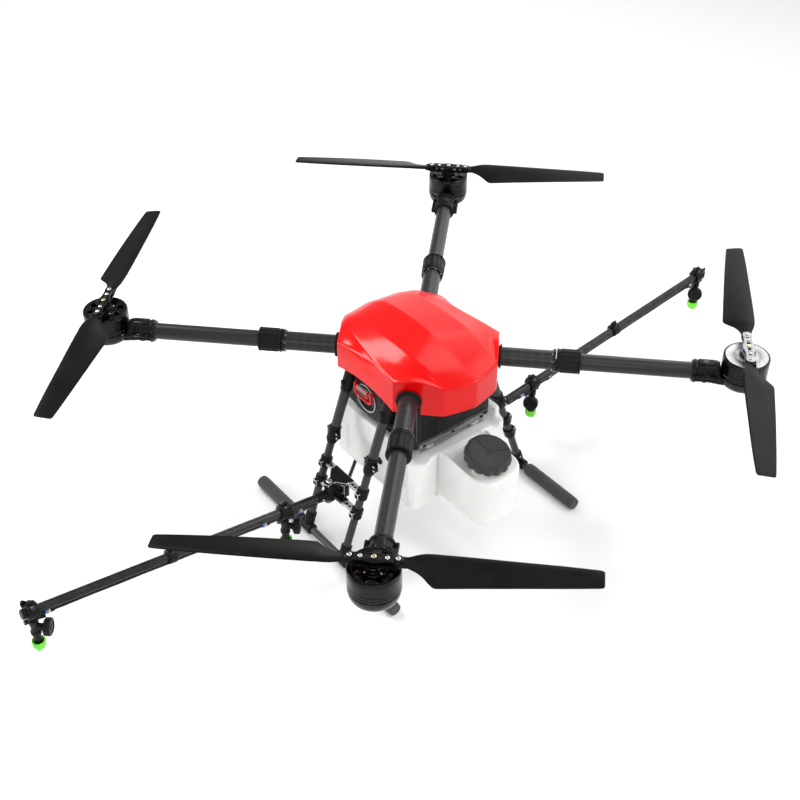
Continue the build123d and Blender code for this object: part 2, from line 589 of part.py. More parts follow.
for sx, side_name in ((-1, "left"), (1, "right")):
    knuckle = disc(sx * BOOM_PIVOT_X, BOOM_Y, 134.8, 173.2, 12.0)
    tube = rod(boom_point(sx, 6), boom_point(sx, BOOM_LEN), BOOM_R)
    tube += rod(boom_point(sx, 6), boom_point(sx, 34), 12.0)
    tube += knuckle
    for dy, dz in ((0, 9.6), (9.6, 0), (-9.6, 0)):
        tube -= rod(boom_point(sx, 36, dy, -dz), boom_point(sx, BOOM_LEN + 1, dy, -dz), 1.6)
    tube -= disc(sx * BOOM_PIVOT_X, BOOM_Y, 120, 190, 4.0 + RUN)
    cap_end = rod(boom_point(sx, BOOM_LEN), boom_point(sx, BOOM_LEN + 5), 10.5)
    save("boom_" + side_name, tube, cap_end)

    bodies = []
    caps = []
    for s in NOZZLE_AT + (386.0,):
        hug = rod(boom_point(sx, s - 12), boom_point(sx, s + 12), 16.5)
        hug += boom_bar(sx, s - 7, s + 7, 3.5, -25.0, -14.0)
        hug -= rod(boom_point(sx, s - 40), boom_point(sx, s + 40), BOOM_R)
        hug -= boom_bar(sx, s - 30, s + 30, 7.0, 7.0, 15.4)
        bodies.append(hug)
        if s in NOZZLE_AT:
            x, y, z = boom_point(sx, s, 0, 9)
            body = disc(x, y, z - 76, z - 7.8, 8.0)
            body -= rod(boom_point(sx, s - 40), boom_point(sx, s + 40), 16.5)
            body += disc(x, y, z - 50, z - 44, 10.5)
            body += rod(boom_point(sx, s - 26, 0, 23), boom_point(sx, s + 22, 0, 23), 5.2)
            bodies.append(body)
            d = Vector(-sx * 0.75, -0.66, 0)
            c0 = Vector(x, y, z - 32)
            valve = rod(c0 + d * 3, c0 + d * 21, 7.0)
            valve += rod(c0 + d * 20, c0 + d * 33, 18.0)
            bodies.append(valve - body)
            cap_n = disc(x, y, z - 92, z - 70, 13.5) - disc(x, y, z - 87, z - 69, 10.0)
            cap_n += disc(x, y, z - 82, z - 77, 10.5)
            cap_n -= disc(x, y, z - 76.01, z - 60, 8.0)
            cap_n -= disc(x, y, z - 95, z - 76, 2.0)
            caps.append(cap_n)
    save("nozzles_" + side_name, *bodies)
    save("nozzle_caps_" + side_name, *caps)
    hoses = []
    for side, end in ((-3.4, BOOM_LEN - 4), (3.4, BOOM_LEN - 12)):
        hoses.append(rod(boom_point(sx, 36, side, 12.3), boom_point(sx, end, side, 12.3), 3.0))
    save("hose_" + side_name, *hoses)

# -------------------------------------------------------- pump, electronics
pump = block(-34, 34, BAY_Y, BAY_Y + 46, 300, 352)
pump = fillet(pump.edges().filter_by(Axis.X), 6.0)
pump += rod((0, BAY_Y + 24, 352), (0, BAY_Y + 24, 384), 20.0)
supply = []
for sx in (-1, 1):
    pts = [(sx * 20, 152, 300), (sx * 20, 152, 128), (sx * 196, 8, 128)]
    path = FilletPolyline(*pts, radius=18)
    end = Plane(origin=pts[0], z_dir=(0, 0, -1))
    supply.append(sweep(end * Circle(4.0), path=path))
save("pump", pump, *supply)

fc = block(-42, 42, -34, 34, PLATE_HIGH + PLATE_THICK, 466)
fc += block(-30, 30, -24, 24, 466, 472)
save("flight_controller", fc)

screws = []
for x in (-80, -3, 76):
    screws.append(rod((x, -BAY_Y - 6.5, BAY_Z0 + 6), (x, -BAY_Y - 4, BAY_Z0 + 6), 3.4))
for sx in (-1, 1):
    for sy in (-1, 1):
        for z in (240, 252):
            x = sx * leg_x(246)
            screws.append(rod((x + sx * 5, sy * LEG_Y + 15.5, z), (x + sx * 7.5, sy * LEG_Y + 15.5, z),
                              2.4))
            screws.append(rod((x + sx * 5, sy * LEG_Y - 15.5, z), (x + sx * 7.5, sy * LEG_Y - 15.5, z),
                              2.4))
for sx in (-1, 1):
    for sy in (-1, 1):
        x = sx * (leg_x(177) + 6)
        screws.append(disc(x, BOOM_Y + sy * 32, 180, 183, 3.4))
        screws.append(disc(sx * (leg_x(131) + 6), BOOM_Y + sy * 32, 125, 128, 3.4))
save("screws", *screws)
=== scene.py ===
import math

import bmesh
import bpy
from mathutils import Matrix, Vector


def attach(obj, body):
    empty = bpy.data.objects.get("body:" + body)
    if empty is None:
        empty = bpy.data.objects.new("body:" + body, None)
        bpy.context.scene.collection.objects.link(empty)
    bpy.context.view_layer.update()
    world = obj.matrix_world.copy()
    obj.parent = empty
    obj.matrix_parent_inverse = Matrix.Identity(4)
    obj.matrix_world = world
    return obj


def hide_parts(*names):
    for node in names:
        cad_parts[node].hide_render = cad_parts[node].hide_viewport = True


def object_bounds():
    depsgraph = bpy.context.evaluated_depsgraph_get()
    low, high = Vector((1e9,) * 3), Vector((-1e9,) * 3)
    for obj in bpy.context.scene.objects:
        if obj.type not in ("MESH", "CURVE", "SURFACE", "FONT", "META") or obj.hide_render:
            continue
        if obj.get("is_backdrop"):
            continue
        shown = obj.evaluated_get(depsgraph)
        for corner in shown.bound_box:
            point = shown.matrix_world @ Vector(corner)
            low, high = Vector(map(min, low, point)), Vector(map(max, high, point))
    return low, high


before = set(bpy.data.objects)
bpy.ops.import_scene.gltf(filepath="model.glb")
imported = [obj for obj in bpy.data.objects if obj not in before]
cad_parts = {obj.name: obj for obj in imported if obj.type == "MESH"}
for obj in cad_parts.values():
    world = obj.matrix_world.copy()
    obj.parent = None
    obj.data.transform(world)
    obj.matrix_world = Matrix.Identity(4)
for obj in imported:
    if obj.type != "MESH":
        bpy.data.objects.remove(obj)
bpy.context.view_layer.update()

MM = 0.001
scene = bpy.context.scene

# ------------------------------------------------------------------ camera
cam_data = bpy.data.cameras.new("camera")
cam_data.sensor_width = 36.0
cam_data.lens = 57.235
cam = bpy.data.objects.new("camera", cam_data)
scene.collection.objects.link(cam)
cam.location = (-1.3430, -1.6570, 2.0220)
aim = Vector((-0.1797, -0.1681, 0.4860)) - cam.location
cam.rotation_euler = aim.to_track_quat("-Z", "Y").to_euler()
cam_data.clip_start = 0.05
cam_data.clip_end = 60.0
scene.camera = cam


# --------------------------------------------------------------- materials
class Mat:
    """A node tree round one Principled shader."""

    def __init__(self, name, **sockets):
        self.m = bpy.data.materials.new(name)
        self.m.use_nodes = True
        self.t = self.m.node_tree
        self.t.nodes.clear()
        self.b = self.t.nodes.new("ShaderNodeBsdfPrincipled")
        out = self.t.nodes.new("ShaderNodeOutputMaterial")
        self.t.links.new(self.b.outputs[0], out.inputs[0])
        for key, value in sockets.items():
            self.b.inputs[key.replace("_", " ")].default_value = value

    def node(self, kind, **values):
        n = self.t.nodes.new("ShaderNode" + kind)
        for key, value in values.items():
            if hasattr(n, key):
                setattr(n, key, value)
            else:
                n.inputs[key.replace("_", " ")].default_value = value
        return n

    def link(self, a, b):
        self.t.links.new(a, b)
        return b

    def math(self, op, a, b=0.0, c=0.0):
        n = self.t.nodes.new("ShaderNodeMath")
        n.operation = op
        for i, v in enumerate((a, b, c)):
            if isinstance(v, (int, float)):
                n.inputs[i].default_value = v
            else:
                self.t.links.new(v, n.inputs[i])
        return n.outputs[0]

    def coords(self, kind="Object"):
        return self.node("TexCoord").outputs[kind]

    def noise(self, scale, detail=3.0, rough=0.55, stretch=None):
        n = self.node("TexNoise", Scale=scale, Detail=detail, Roughness=rough)
        source = self.coords()
        if stretch:
            mp = self.node("Mapping")
            mp.inputs["Scale"].default_value = stretch
            self.link(source, mp.inputs["Vector"])
            source = mp.outputs[0]
        self.link(source, n.inputs["Vector"])
        return n.outputs[0]

    def ramp(self, source, stops):
        r = self.node("ValToRGB")
        e = r.color_ramp.elements
        while len(e) < len(stops):
            e.new(0.5)
        for i, (p, c) in enumerate(stops):
            e[i].position = p
            e[i].color = (*c, 1.0) if len(c) == 3 else c
        self.link(source, r.inputs[0])
        return r.outputs[0]

    def span(self, source, low, high):
        n = self.node("MapRange")
        n.inputs["To Min"].default_value = low
        n.inputs["To Max"].default_value = high
        self.link(source, n.inputs[0])
        return n.outputs[0]

    def colour(self, output):
        self.link(output, self.b.inputs["Base Color"])

    def rough(self, output):
        self.link(output, self.b.inputs["Roughness"])

    def bump(self, source, distance, strength=1.0, base=None):
        n = self.node("Bump", Strength=strength, Distance=distance)
        self.link(source, n.inputs["Height"])
        if base:
            self.link(base, n.inputs["Normal"])
        self.link(n.outputs[0], self.b.inputs["Normal"])
        return n.outputs[0]


def moulded(name, dark, light, rough, grain=900.0, depth=0.00006, **sockets):
    """Moulded or cast surface: blotchy tone, fine grain, roughness that varies."""
    k = Mat(name, **sockets)
    blotch = k.noise(14.0, 4.0)
    k.colour(k.ramp(blotch, [(0.35, dark), (0.65, light)]))
    fine = k.noise(grain, 2.0)
    k.rough(k.span(k.noise(60.0, 3.0), rough[0], rough[1]))
    k.bump(fine, depth)
    return k.m


def metal(name, dark, light, rough, stretch=(1.0, 1.0, 40.0), **sockets):
    """Machined metal: streaks across the stretch axis and small tone changes."""
    k = Mat(name, Metallic=1.0, **sockets)
    streak = k.noise(90.0, 3.0, 0.6, stretch)
    k.colour(k.ramp(streak, [(0.3, dark), (0.7, light)]))
    k.rough(k.span(k.noise(220.0, 3.0), rough[0], rough[1]))
    k.bump(streak, 0.00003)
    return k.m


def twill(name, cell, warp, weft, rough, bands=0.0, coat=0.2):
    """Two-by-two carbon weave on tubes; UVs are millimetres round and along the tube."""
    k = Mat(name, Coat_Weight=coat, Coat_Roughness=0.14, Specular_IOR_Level=0.22)
    sep = k.node("SeparateXYZ")
    k.link(k.coords("UV"), sep.inputs[0])
    u = k.math("DIVIDE", sep.outputs[0], cell)
    v = k.math("DIVIDE", sep.outputs[1], cell)
    total = k.math("ADD", k.math("FLOOR", u), k.math("FLOOR", v))
    side = k.math("LESS_THAN", k.math("FLOORED_MODULO", total, 4.0), 2.0)
    fu = k.math("ABSOLUTE", k.math("SUBTRACT", k.math("FRACT", u), 0.5))
    fv = k.math("ABSOLUTE", k.math("SUBTRACT", k.math("FRACT", v), 0.5))
    over = k.math("MULTIPLY", side, fu)
    under = k.math("MULTIPLY", k.math("SUBTRACT", 1.0, side), fv)
    crown = k.math("SUBTRACT", 0.5, k.math("ADD", over, under))
    tone = k.math("MULTIPLY_ADD", side, 0.6, k.math("MULTIPLY", crown, 0.6))
    if bands:
        period = k.math("FRACT", k.math("DIVIDE", sep.outputs[1], bands))
        light = k.math("GREATER_THAN", period, 0.5)
        tone = k.math("MULTIPLY_ADD", light, 0.35, tone)
    cloud = k.noise(35.0, 3.0)
    tone = k.math("MULTIPLY_ADD", cloud, 0.3, tone)
    k.colour(k.ramp(tone, [(0.1, warp), (1.0, weft)]))
    k.rough(k.span(side, rough[0], rough[1]))
    k.bump(crown, 0.00012, 0.5)
    return k.m


def paint(name, deep, bright):
    """Gloss moulded shell: deep colour under a clear coat with faint orange peel."""
    k = Mat(name, Coat_Weight=0.45, Coat_Roughness=0.12, Specular_IOR_Level=0.05)
    k.colour(k.ramp(k.noise(5.0, 2.0), [(0.3, deep), (0.7, bright)]))
    k.rough(k.span(k.noise(40.0, 3.0), 0.3, 0.4))
    k.bump(k.noise(260.0, 2.0), 0.00002)
    return k.m


def foam(name, dark, light):
    k = Mat(name, Specular_IOR_Level=0.2, Sheen_Weight=0.15, Sheen_Roughness=0.6)
    pores = k.node("TexVoronoi", Scale=620.0)
    k.link(k.coords(), pores.inputs["Vector"])
    cell = pores.outputs["Distance"]
    mix = k.math("MULTIPLY_ADD", k.noise(30.0, 4.0), 0.5, k.math("MULTIPLY", cell, 0.7))
    k.colour(k.ramp(mix, [(0.2, dark), (0.8, light)]))
    k.rough(k.span(k.noise(120.0, 3.0), 0.72, 0.92))
    k.bump(cell, 0.0003, 0.6)
    return k.m


def milky(name):
    """Blow-moulded polythene: milky, slightly see-through looking, faint flow marks."""
    k = Mat(name, Specular_IOR_Level=0.4, Subsurface_Weight=0.35, Subsurface_Scale=0.02,
        Coat_Weight=0.15, Coat_Roughness=0.3)
    k.b.inputs["Subsurface Radius"].default_value = (1.0, 0.9, 0.8)
    cloud = k.noise(7.0, 4.0, 0.6, (1.0, 1.0, 0.35))
    k.colour(k.ramp(cloud, [(0.3, (0.80, 0.79, 0.775)), (0.7, (0.93, 0.93, 0.92))]))
    k.rough(k.span(k.noise(50.0, 3.0), 0.32, 0.5))
    k.bump(k.noise(300.0, 3.0), 0.0001, 0.5)
    return k.m


RED = paint("cover_red", (0.68, 0.0006, 0.0008), (0.76, 0.0008, 0.001))
CARBON = twill("carbon_tube", 1.3, (0.003, 0.003, 0.0035), (0.030, 0.030, 0.032), (0.28, 0.42))
CARBON_INNER = twill("carbon_inner", 1.3, (0.002, 0.002, 0.0025), (0.022, 0.0225, 0.024),
    (0.30, 0.45), bands=20.0)
CARBON_LEG = twill("carbon_leg", 0.9, (0.007, 0.007, 0.0075), (0.050, 0.050, 0.052), (0.32, 0.5))
BLACK = moulded("black_plastic", (0.004, 0.004, 0.0045), (0.010, 0.010, 0.011), (0.30, 0.46),
    Specular_IOR_Level=0.13)
GLOSS = moulded("gloss_black", (0.005, 0.005, 0.006), (0.012, 0.012, 0.013), (0.12, 0.22), 400.0,
    0.00002, Coat_Weight=0.2, Coat_Roughness=0.08, Specular_IOR_Level=0.2)
BAYMAT = moulded("bay_black", (0.010, 0.010, 0.011), (0.024, 0.024, 0.025), (0.42, 0.6), 1200.0,
    0.00008, Specular_IOR_Level=0.15)
# Black rubber for grommets and pads; also used for the painted shade of the hub plate slots.
RUBBER_AND_SLOT_SHADE = moulded("rubber", (0.006, 0.006, 0.006), (0.014, 0.014, 0.014), (0.6, 0.8), 700.0, 0.0001,
    Specular_IOR_Level=0.15)
BELL = metal("bell_black", (0.012, 0.012, 0.013), (0.035, 0.035, 0.037), (0.2, 0.32))
STEEL = metal("steel", (0.52, 0.52, 0.53), (0.78, 0.78, 0.79), (0.16, 0.3))
ALU = metal("aluminium", (0.50, 0.51, 0.52), (0.70, 0.71, 0.72), (0.3, 0.45), (40.0, 1.0, 1.0))
# Light grey metal for the front right bell top and hub plates: a painted reflection of the studio
# light on black metal.
PAINTED_REFLECTION_GREY = metal("painted_reflection_grey", (0.36, 0.36, 0.37), (0.48, 0.48, 0.49), (0.34, 0.46),
    (1.0, 1.0, 1.0))
BRASS = metal("brass", (0.55, 0.42, 0.16), (0.75, 0.60, 0.28), (0.2, 0.35))
COPPER = metal("copper_wire", (0.32, 0.12, 0.04), (0.55, 0.24, 0.09), (0.3, 0.45))
BLADE = moulded("blade_black", (0.003, 0.003, 0.0035), (0.007, 0.007, 0.0075), (0.30, 0.40), 1500.0,
    0.00003, Specular_IOR_Level=0.1)
TANK = milky("tank_white")
FOAM = foam("foam_grey", (0.022, 0.022, 0.023), (0.055, 0.055, 0.056))
CAPMAT = moulded("cap_grey", (0.030, 0.030, 0.031), (0.050, 0.049, 0.050), (0.42, 0.6), 1000.0,
    0.00008, Specular_IOR_Level=0.25)
GREEN = moulded("nozzle_green", (0.10, 0.62, 0.02), (0.20, 0.85, 0.05), (0.3, 0.45), 600.0, 0.00003,
    Subsurface_Weight=0.1, Subsurface_Scale=0.004)
STRAP = moulded("strap_red", (0.62, 0.006, 0.010), (0.80, 0.012, 0.016), (0.4, 0.55), 500.0, 0.0001)
HOSE = moulded("hose_black", (0.008, 0.008, 0.009), (0.020, 0.020, 0.021), (0.2, 0.35), 500.0,
    0.00003, Coat_Weight=0.12, Coat_Roughness=0.15, Specular_IOR_Level=0.2)
BLUE = moulded("fitting_blue", (0.03, 0.17, 0.72), (0.06, 0.32, 0.90), (0.25, 0.4), 600.0, 0.00003)
ORANGE = moulded("fitting_orange", (0.75, 0.28, 0.02), (0.95, 0.50, 0.06), (0.25, 0.4), 600.0,
    0.00003)
GREY = moulded("trim_grey", (0.17, 0.17, 0.172), (0.26, 0.26, 0.262), (0.35, 0.5), 800.0, 0.00005)
PLUG = moulded("plug_grey", (0.14, 0.145, 0.15), (0.24, 0.245, 0.25), (0.35, 0.5), 800.0, 0.00005)
PALE = moulded("ring_pale", (0.42, 0.43, 0.41), (0.58, 0.59, 0.57), (0.3, 0.45), 800.0, 0.00004)


# ------------------------------------------------------------ mesh building
UPRIGHT = Matrix.Rotation(math.radians(90), 4, "X")     # turns an XY outline into the XZ plane


def frame_at(a, b):
    """Matrix with its origin at a and its Z axis towards b."""
    d = Vector(b) - Vector(a)
    return Matrix.Translation(Vector(a)) @ d.to_track_quat("Z", "Y").to_matrix().to_4x4()


def along_x(x, y=0.0, z=0.0):
    """Frame whose Z axis points along +X, for outlines drawn in the YZ plane."""
    return Matrix(((0, 0, 1, x), (1, 0, 0, y), (0, 1, 0, z), (0, 0, 0, 1)))


def arc(r, a0, a1, n, x=0.0, y=0.0):
    """Points of an arc about (x, y) from angle a0 to a1, in degrees, in n steps."""
    turns = [math.radians(a0 + (a1 - a0) * k / n) for k in range(n + 1)]
    return [(x + r * math.cos(t), y + r * math.sin(t)) for t in turns]


def rounded_rect(x0, x1, y0, y1, r, n=5):
    return (arc(r, 0, 90, n, x1 - r, y1 - r) + arc(r, 90, 180, n, x0 + r, y1 - r)
        + arc(r, 180, 270, n, x0 + r, y0 + r) + arc(r, 270, 360, n, x1 - r, y0 + r))


def eased(profile, r, steps=2):
    """Profile with each inner corner replaced by a small arc, so that edges catch the light."""
    pts = [Vector(p) for p in profile]
    out = [pts[0]]
    for p, q, s in zip(pts, pts[1:], pts[2:]):
        a = p - q
        b = s - q
        if a.length < 1e-6 or b.length < 1e-6:
            continue
        d = min(r, a.length * 0.45, b.length * 0.45)
        p0 = q + a.normalized() * d
        p1 = q + b.normalized() * d
        for i in range(steps + 1):
            t = i / steps
            out.append(p0 * (1 - t) ** 2 + q * 2 * t * (1 - t) + p1 * t * t)
    out.append(pts[-1])
    return [tuple(p) for p in out]


class Part:
    """Closed solids collected in millimetres that become one object."""

    def __init__(self):
        self.bm = bmesh.new()
        self.uv = self.bm.loops.layers.uv.new("UVMap")
        self.mats = []

    def index(self, mat):
        if mat not in self.mats:
            self.mats.append(mat)
        return self.mats.index(mat)

    def solid(self, points, polys, mat, bevel=0.0, segs=2, limit=25.0):
        bm = self.bm
        vs = [bm.verts.new(p) for p in points]
        i = self.index(mat)
        fs = []
        for poly in polys:
            f = bm.faces.new([vs[k] for k in poly])
            f.material_index = i
            fs.append(f)
        if bevel:
            bmesh.ops.recalc_face_normals(bm, faces=fs)
            edges = set(e for f in fs for e in f.edges)
            sharp = [e for e in edges if e.is_manifold
                and e.calc_face_angle() > math.radians(limit)]
            bmesh.ops.bevel(bm, geom=sharp, offset=bevel, segments=segs, profile=0.5,
                affect="EDGES", clamp_overlap=True)
        return fs

    def prism(self, outline, z0, z1, mat, bevel=0.0, at=Matrix(), segs=2, taper=1.0):
        n = len(outline)
        low = [at @ Vector((x, y, z0)) for x, y in outline]
        high = [at @ Vector((x * taper, y * taper, z1)) for x, y in outline]
        polys = [list(range(n))[::-1], list(range(n, 2 * n))]
        polys += [(k, (k + 1) % n, n + (k + 1) % n, n + k) for k in range(n)]
        return self.solid(low + high, polys, mat, bevel, segs)

    def box(self, x0, x1, y0, y1, z0, z1, mat, bevel=0.8, at=Matrix(), segs=2):
        x0, x1 = sorted((x0, x1))
        y0, y1 = sorted((y0, y1))
        return self.prism([(x0, y0), (x1, y0), (x1, y1), (x0, y1)], z0, z1, mat, bevel, at, segs)

    def lathe(self, a, b, profile, mat, segs=48, closed=False, shape=None, ease=0.0):
        """Turned about the line from a to b. profile is (radius, distance along from a)."""
        if ease:
            profile = eased(profile, ease)
        at = frame_at(a, b)
        bm = self.bm
        i = self.index(mat)
        rings = []
        for r, z in profile:
            if r < 1e-6:
                rings.append([bm.verts.new(at @ Vector((0, 0, z)))])
                continue
            ring = []
            for k in range(segs):
                t = 2 * math.pi * k / segs
                rr = shape(t, r, z) if shape else r
                ring.append(bm.verts.new(at @ Vector((rr * math.cos(t), rr * math.sin(t), z))))
            rings.append(ring)
        run = [0.0]
        for (r0, z0), (r1, z1) in zip(profile, profile[1:]):
            run.append(run[-1] + math.hypot(r1 - r0, z1 - z0))
        big = max(r for r, z in profile)
        pairs = list(zip(range(len(rings) - 1), range(1, len(rings))))
        if closed:
            pairs.append((len(rings) - 1, 0))
        for p, q in pairs:
            lo, hi = rings[p], rings[q]
            for k in range(segs):
                k2 = (k + 1) % segs
                if len(lo) == 1 and len(hi) == 1:
                    continue
                if len(lo) == 1:
                    loop = [lo[0], hi[k2], hi[k]]
                    uv = [(k, p), (k + 1, q), (k, q)]
                elif len(hi) == 1:
                    loop = [lo[k], lo[k2], hi[0]]
                    uv = [(k, p), (k + 1, p), (k, q)]
                else:
                    loop = [lo[k], lo[k2], hi[k2], hi[k]]
                    uv = [(k, p), (k + 1, p), (k + 1, q), (k, q)]
                f = bm.faces.new(loop)
                f.material_index = i
                for l, (kk, row) in zip(f.loops, uv):
                    l[self.uv].uv = (kk / segs * 2 * math.pi * big, run[row])
        if not closed:
            for ring in (rings[0], rings[-1]):
                if len(ring) > 1:
                    f = bm.faces.new(ring)
                    f.material_index = i
        return self

    def turned(self, x, y, profile, mat, segs=48, **more):
        """Lathe about the upright line through x, y; profile is (radius, height)."""
        return self.lathe((x, y, 0), (x, y, 1), profile, mat, segs, **more)

    def sleeve(self, a, b, profile, mat, segs=48):
        """Lathe whose profile closes on itself, which leaves a bore."""
        return self.lathe(a, b, profile, mat, segs, closed=True)

    def rod(self, a, b, r, mat, segs=32, ease=0.8):
        n = (Vector(b) - Vector(a)).length
        return self.lathe(a, b, eased([(0, 0), (r, 0), (r, n), (0, n)], ease), mat, segs)

    def ring(self, a, b, r, bore, mat, segs=48, ease=0.5):
        n = (Vector(b) - Vector(a)).length
        e = min(ease, (r - bore) * 0.45, n * 0.45)
        prof = [(bore, 0), (r - e, 0), (r, e), (r, n - e), (r - e, n), (bore, n)]
        return self.lathe(a, b, prof, mat, segs, closed=True)

    def sweep(self, path, r, mat, segs=16, close=False):
        """Round bar along a smooth path."""
        pts = [Vector(p) for p in path]
        bm = self.bm
        i = self.index(mat)
        n = len(pts)
        side = None
        rings = []
        for k, p in enumerate(pts):
            if close:
                d = (pts[(k + 1) % n] - pts[k - 1]).normalized()
            else:
                d = (pts[min(k + 1, n - 1)] - pts[max(k - 1, 0)]).normalized()
            if side is None:
                side = d.orthogonal().normalized()
            side = (side - d * side.dot(d)).normalized()
            up = d.cross(side)
            rr = r[k] if isinstance(r, (list, tuple)) else r
            rings.append([bm.verts.new(p + side * rr * math.cos(2 * math.pi * j / segs) + up * rr
                * math.sin(2 * math.pi * j / segs)) for j in range(segs)])
        rows = list(zip(rings, rings[1:])) + ([(rings[-1], rings[0])] if close else [])
        for lo, hi in rows:
            for j in range(segs):
                f = bm.faces.new((lo[j], lo[(j + 1) % segs], hi[(j + 1) % segs], hi[j]))
                f.material_index = i
        if not close:
            for ring in (rings[0], rings[-1]):
                f = bm.faces.new(ring)
                f.material_index = i
        return self

    def loft(self, rings, mat):
        """Skin over closed rings of points, with flat ends."""
        bm = self.bm
        i = self.index(mat)
        made = [[bm.verts.new(p) for p in ring] for ring in rings]
        n = len(made[0])
        for lo, hi in zip(made, made[1:]):
            for j in range(n):
                f = bm.faces.new((lo[j], lo[(j + 1) % n], hi[(j + 1) % n], hi[j]))
                f.material_index = i
        for ring in (made[0], made[-1]):
            f = bm.faces.new(ring)
            f.material_index = i
        return self

    def screw(self, p, axis, r, h, mat, washer=None):
        """Button head with a socket, standing on p."""
        p = Vector(p)
        d = Vector(axis).normalized()
        if washer:
            self.ring(p, p + d * 0.8, washer, r * 0.3, mat, 24, 0.2)
            p = p + d * 0.6
        prof = [(0, 0), (r, 0), (r * 1.02, h * 0.35), (r * 0.86, h * 0.8), (r * 0.55, h),
            (r * 0.5, h), (r * 0.46, h * 0.5), (0, h * 0.42)]

        def hexed(t, rr, z):
            if rr > r * 0.52:
                return rr
            s = math.radians(60)
            return rr * math.cos(s / 2) / math.cos((t % s) - s / 2) * 1.08

        return self.lathe(p, p + d, prof, mat, 24, shape=hexed)

    def mesh(self, name, angle=35.0):
        bmesh.ops.recalc_face_normals(self.bm, faces=self.bm.faces)
        bmesh.ops.scale(self.bm, vec=(MM, MM, MM), verts=self.bm.verts)
        me = bpy.data.meshes.new(name)
        self.bm.to_mesh(me)
        self.bm.free()
        for m in self.mats:
            me.materials.append(m)
        me.shade_smooth()
        me.set_sharp_from_angle(angle=math.radians(angle))
        return me

    def done(self, name, body, slot, *nodes, angle=35.0):
        return place(self.mesh(name, angle), name, body, slot, *nodes)


def place(me, name, body, slot, *nodes, at=None):
    if at is not None:
        me = me.copy()
        me.transform(at)
    o = bpy.data.objects.new(name, me)
    scene.collection.objects.link(o)
    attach(o, body)
    if nodes:
        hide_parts(*nodes)
    return o


def applied(o):
    """Replaces an object's mesh with what its modifiers make of it."""
    bpy.context.view_layer.update()
    dg = bpy.context.evaluated_depsgraph_get()
    me = bpy.data.meshes.new_from_object(o.evaluated_get(dg))
    o.modifiers.clear()
    old = o.data
    o.data = me
    bpy.data.meshes.remove(old)
    return o


def cut(o, *tools, op="DIFFERENCE"):
    for me in tools:
        t = bpy.data.objects.new("tool", me)
        scene.collection.objects.link(t)
        mod = o.modifiers.new("cut", "BOOLEAN")
        mod.operation = op
        mod.solver = "EXACT"
        mod.object = t
        applied(o)
        bpy.data.objects.remove(t)
        bpy.data.meshes.remove(me)
    return o


def cut_box(o, *box):
    """Cuts a sharp box out of o; box is x0, x1, y0, y1, z0, z1 and the finish of its walls."""
    tool = Part()
    tool.box(*box, 0.0)
    cut(o, tool.mesh("pocket"))


def soften(o, voxel, rounds, name):
    """Fuses overlapping solids into one moulded skin with rounded corners."""
    mod = o.modifiers.new("remesh", "REMESH")
    mod.mode = "VOXEL"
    mod.voxel_size = voxel * MM
    mod.use_smooth_shade = True
    sm = o.modifiers.new("smooth", "SMOOTH")
    sm.factor = 0.5
    sm.iterations = rounds
    applied(o)
    o.data.name = name
    o.data.shade_smooth()
    return o


# ------------------------------------------------------------ arm dimensions
MOTOR_R = 668.5
ARM_Z = 423.0
BLADE_Z = 486.0
PIVOT = 41.0             # blade pivot from the motor axis
SPACER = 23.0            # hub spacer from the motor axis
FOLD_R = 292.0
FOLD_Z = 412.0
ARMS = {"fl": 225.0, "fr": 315.0, "rr": 45.0, "rl": 135.0}
SPIN_CCW = {"fl": True, "fr": False, "rr": True, "rl": False}
TURN = {k: Matrix.Rotation(math.radians(a), 4, "Z") for k, a in ARMS.items()}


def along(r, side=0.0, up=0.0):
    """Point in the arm frame: distance from the centre, sideways, above the arm axis."""
    return (r, side, ARM_Z + up)


def tube_profile(r, bore, length, step=40.0):
    rows = [(r, min(z * step, length)) for z in range(int(length / step) + 2)]
    return [(bore, 0), (r - 0.4, 0)] + rows + [(r - 0.4, length), (bore, length)]


# ---------------------------------------------------------------- outer arm
def make_outer_arm():
    p = Part()
    p.sleeve(along(301), along(619), tube_profile(17.5, 15.5, 318), CARBON, 64)
    p.sleeve(along(300), along(310), [(9, 0), (19.5, 0), (19.5, 5.5), (15.4, 5.6), (15.4, 34),
        (9, 34)], GLOSS, 48)
    p.ring(along(306.6), along(308.1), 18.4, 15.6, ALU)
    # Hinge leaf: knuckle round the pin, and the web that joins it to the plug.
    p.sleeve((FOLD_R, -5.2, FOLD_Z), (FOLD_R, 5.2, FOLD_Z), [(2.8, 0), (5.4, 0), (5.4, 10.4),
        (2.8, 10.4)], GLOSS, 48)
    p.box(FOLD_R + 4.2, 300.6, -5.2, 5.2, FOLD_Z - 4.6, FOLD_Z + 5.0, GLOSS, 0.4)
    return p.mesh("outer_arm")


def make_nut():
    p = Part()

    def ribs(t, r, z):
        if r < 23.7:
            return r
        wave = abs(((t * 14 / (2 * math.pi)) % 1.0) - 0.5) * 2
        lift = 1.0 - min(1.0, max(0.0, (wave - 0.25) / 0.28))
        inside = 1.0 if 7.5 < z < 45.5 else 0.0
        return r + 1.65 * lift * inside

    prof = [(22.3, 0), (24.4, 0), (25.0, 0.6), (25.0, 3.6), (24.2, 4.4), (23.8, 4.8), (23.8, 7.4),
        (23.8, 8.2), (23.8, 40), (23.8, 44.6), (23.8, 45.6), (25.4, 45.8), (26.0, 46.4),
        (26.0, 47.6), (25.2, 48.4), (23.6, 49.4), (18.0, 49.5), (18.0, 43), (22.3, 42.9)]
    p.lathe(along(288.5), along(340), prof, BLACK, 168, closed=True, shape=ribs)
    return p.mesh("lock_nut", 30.0)


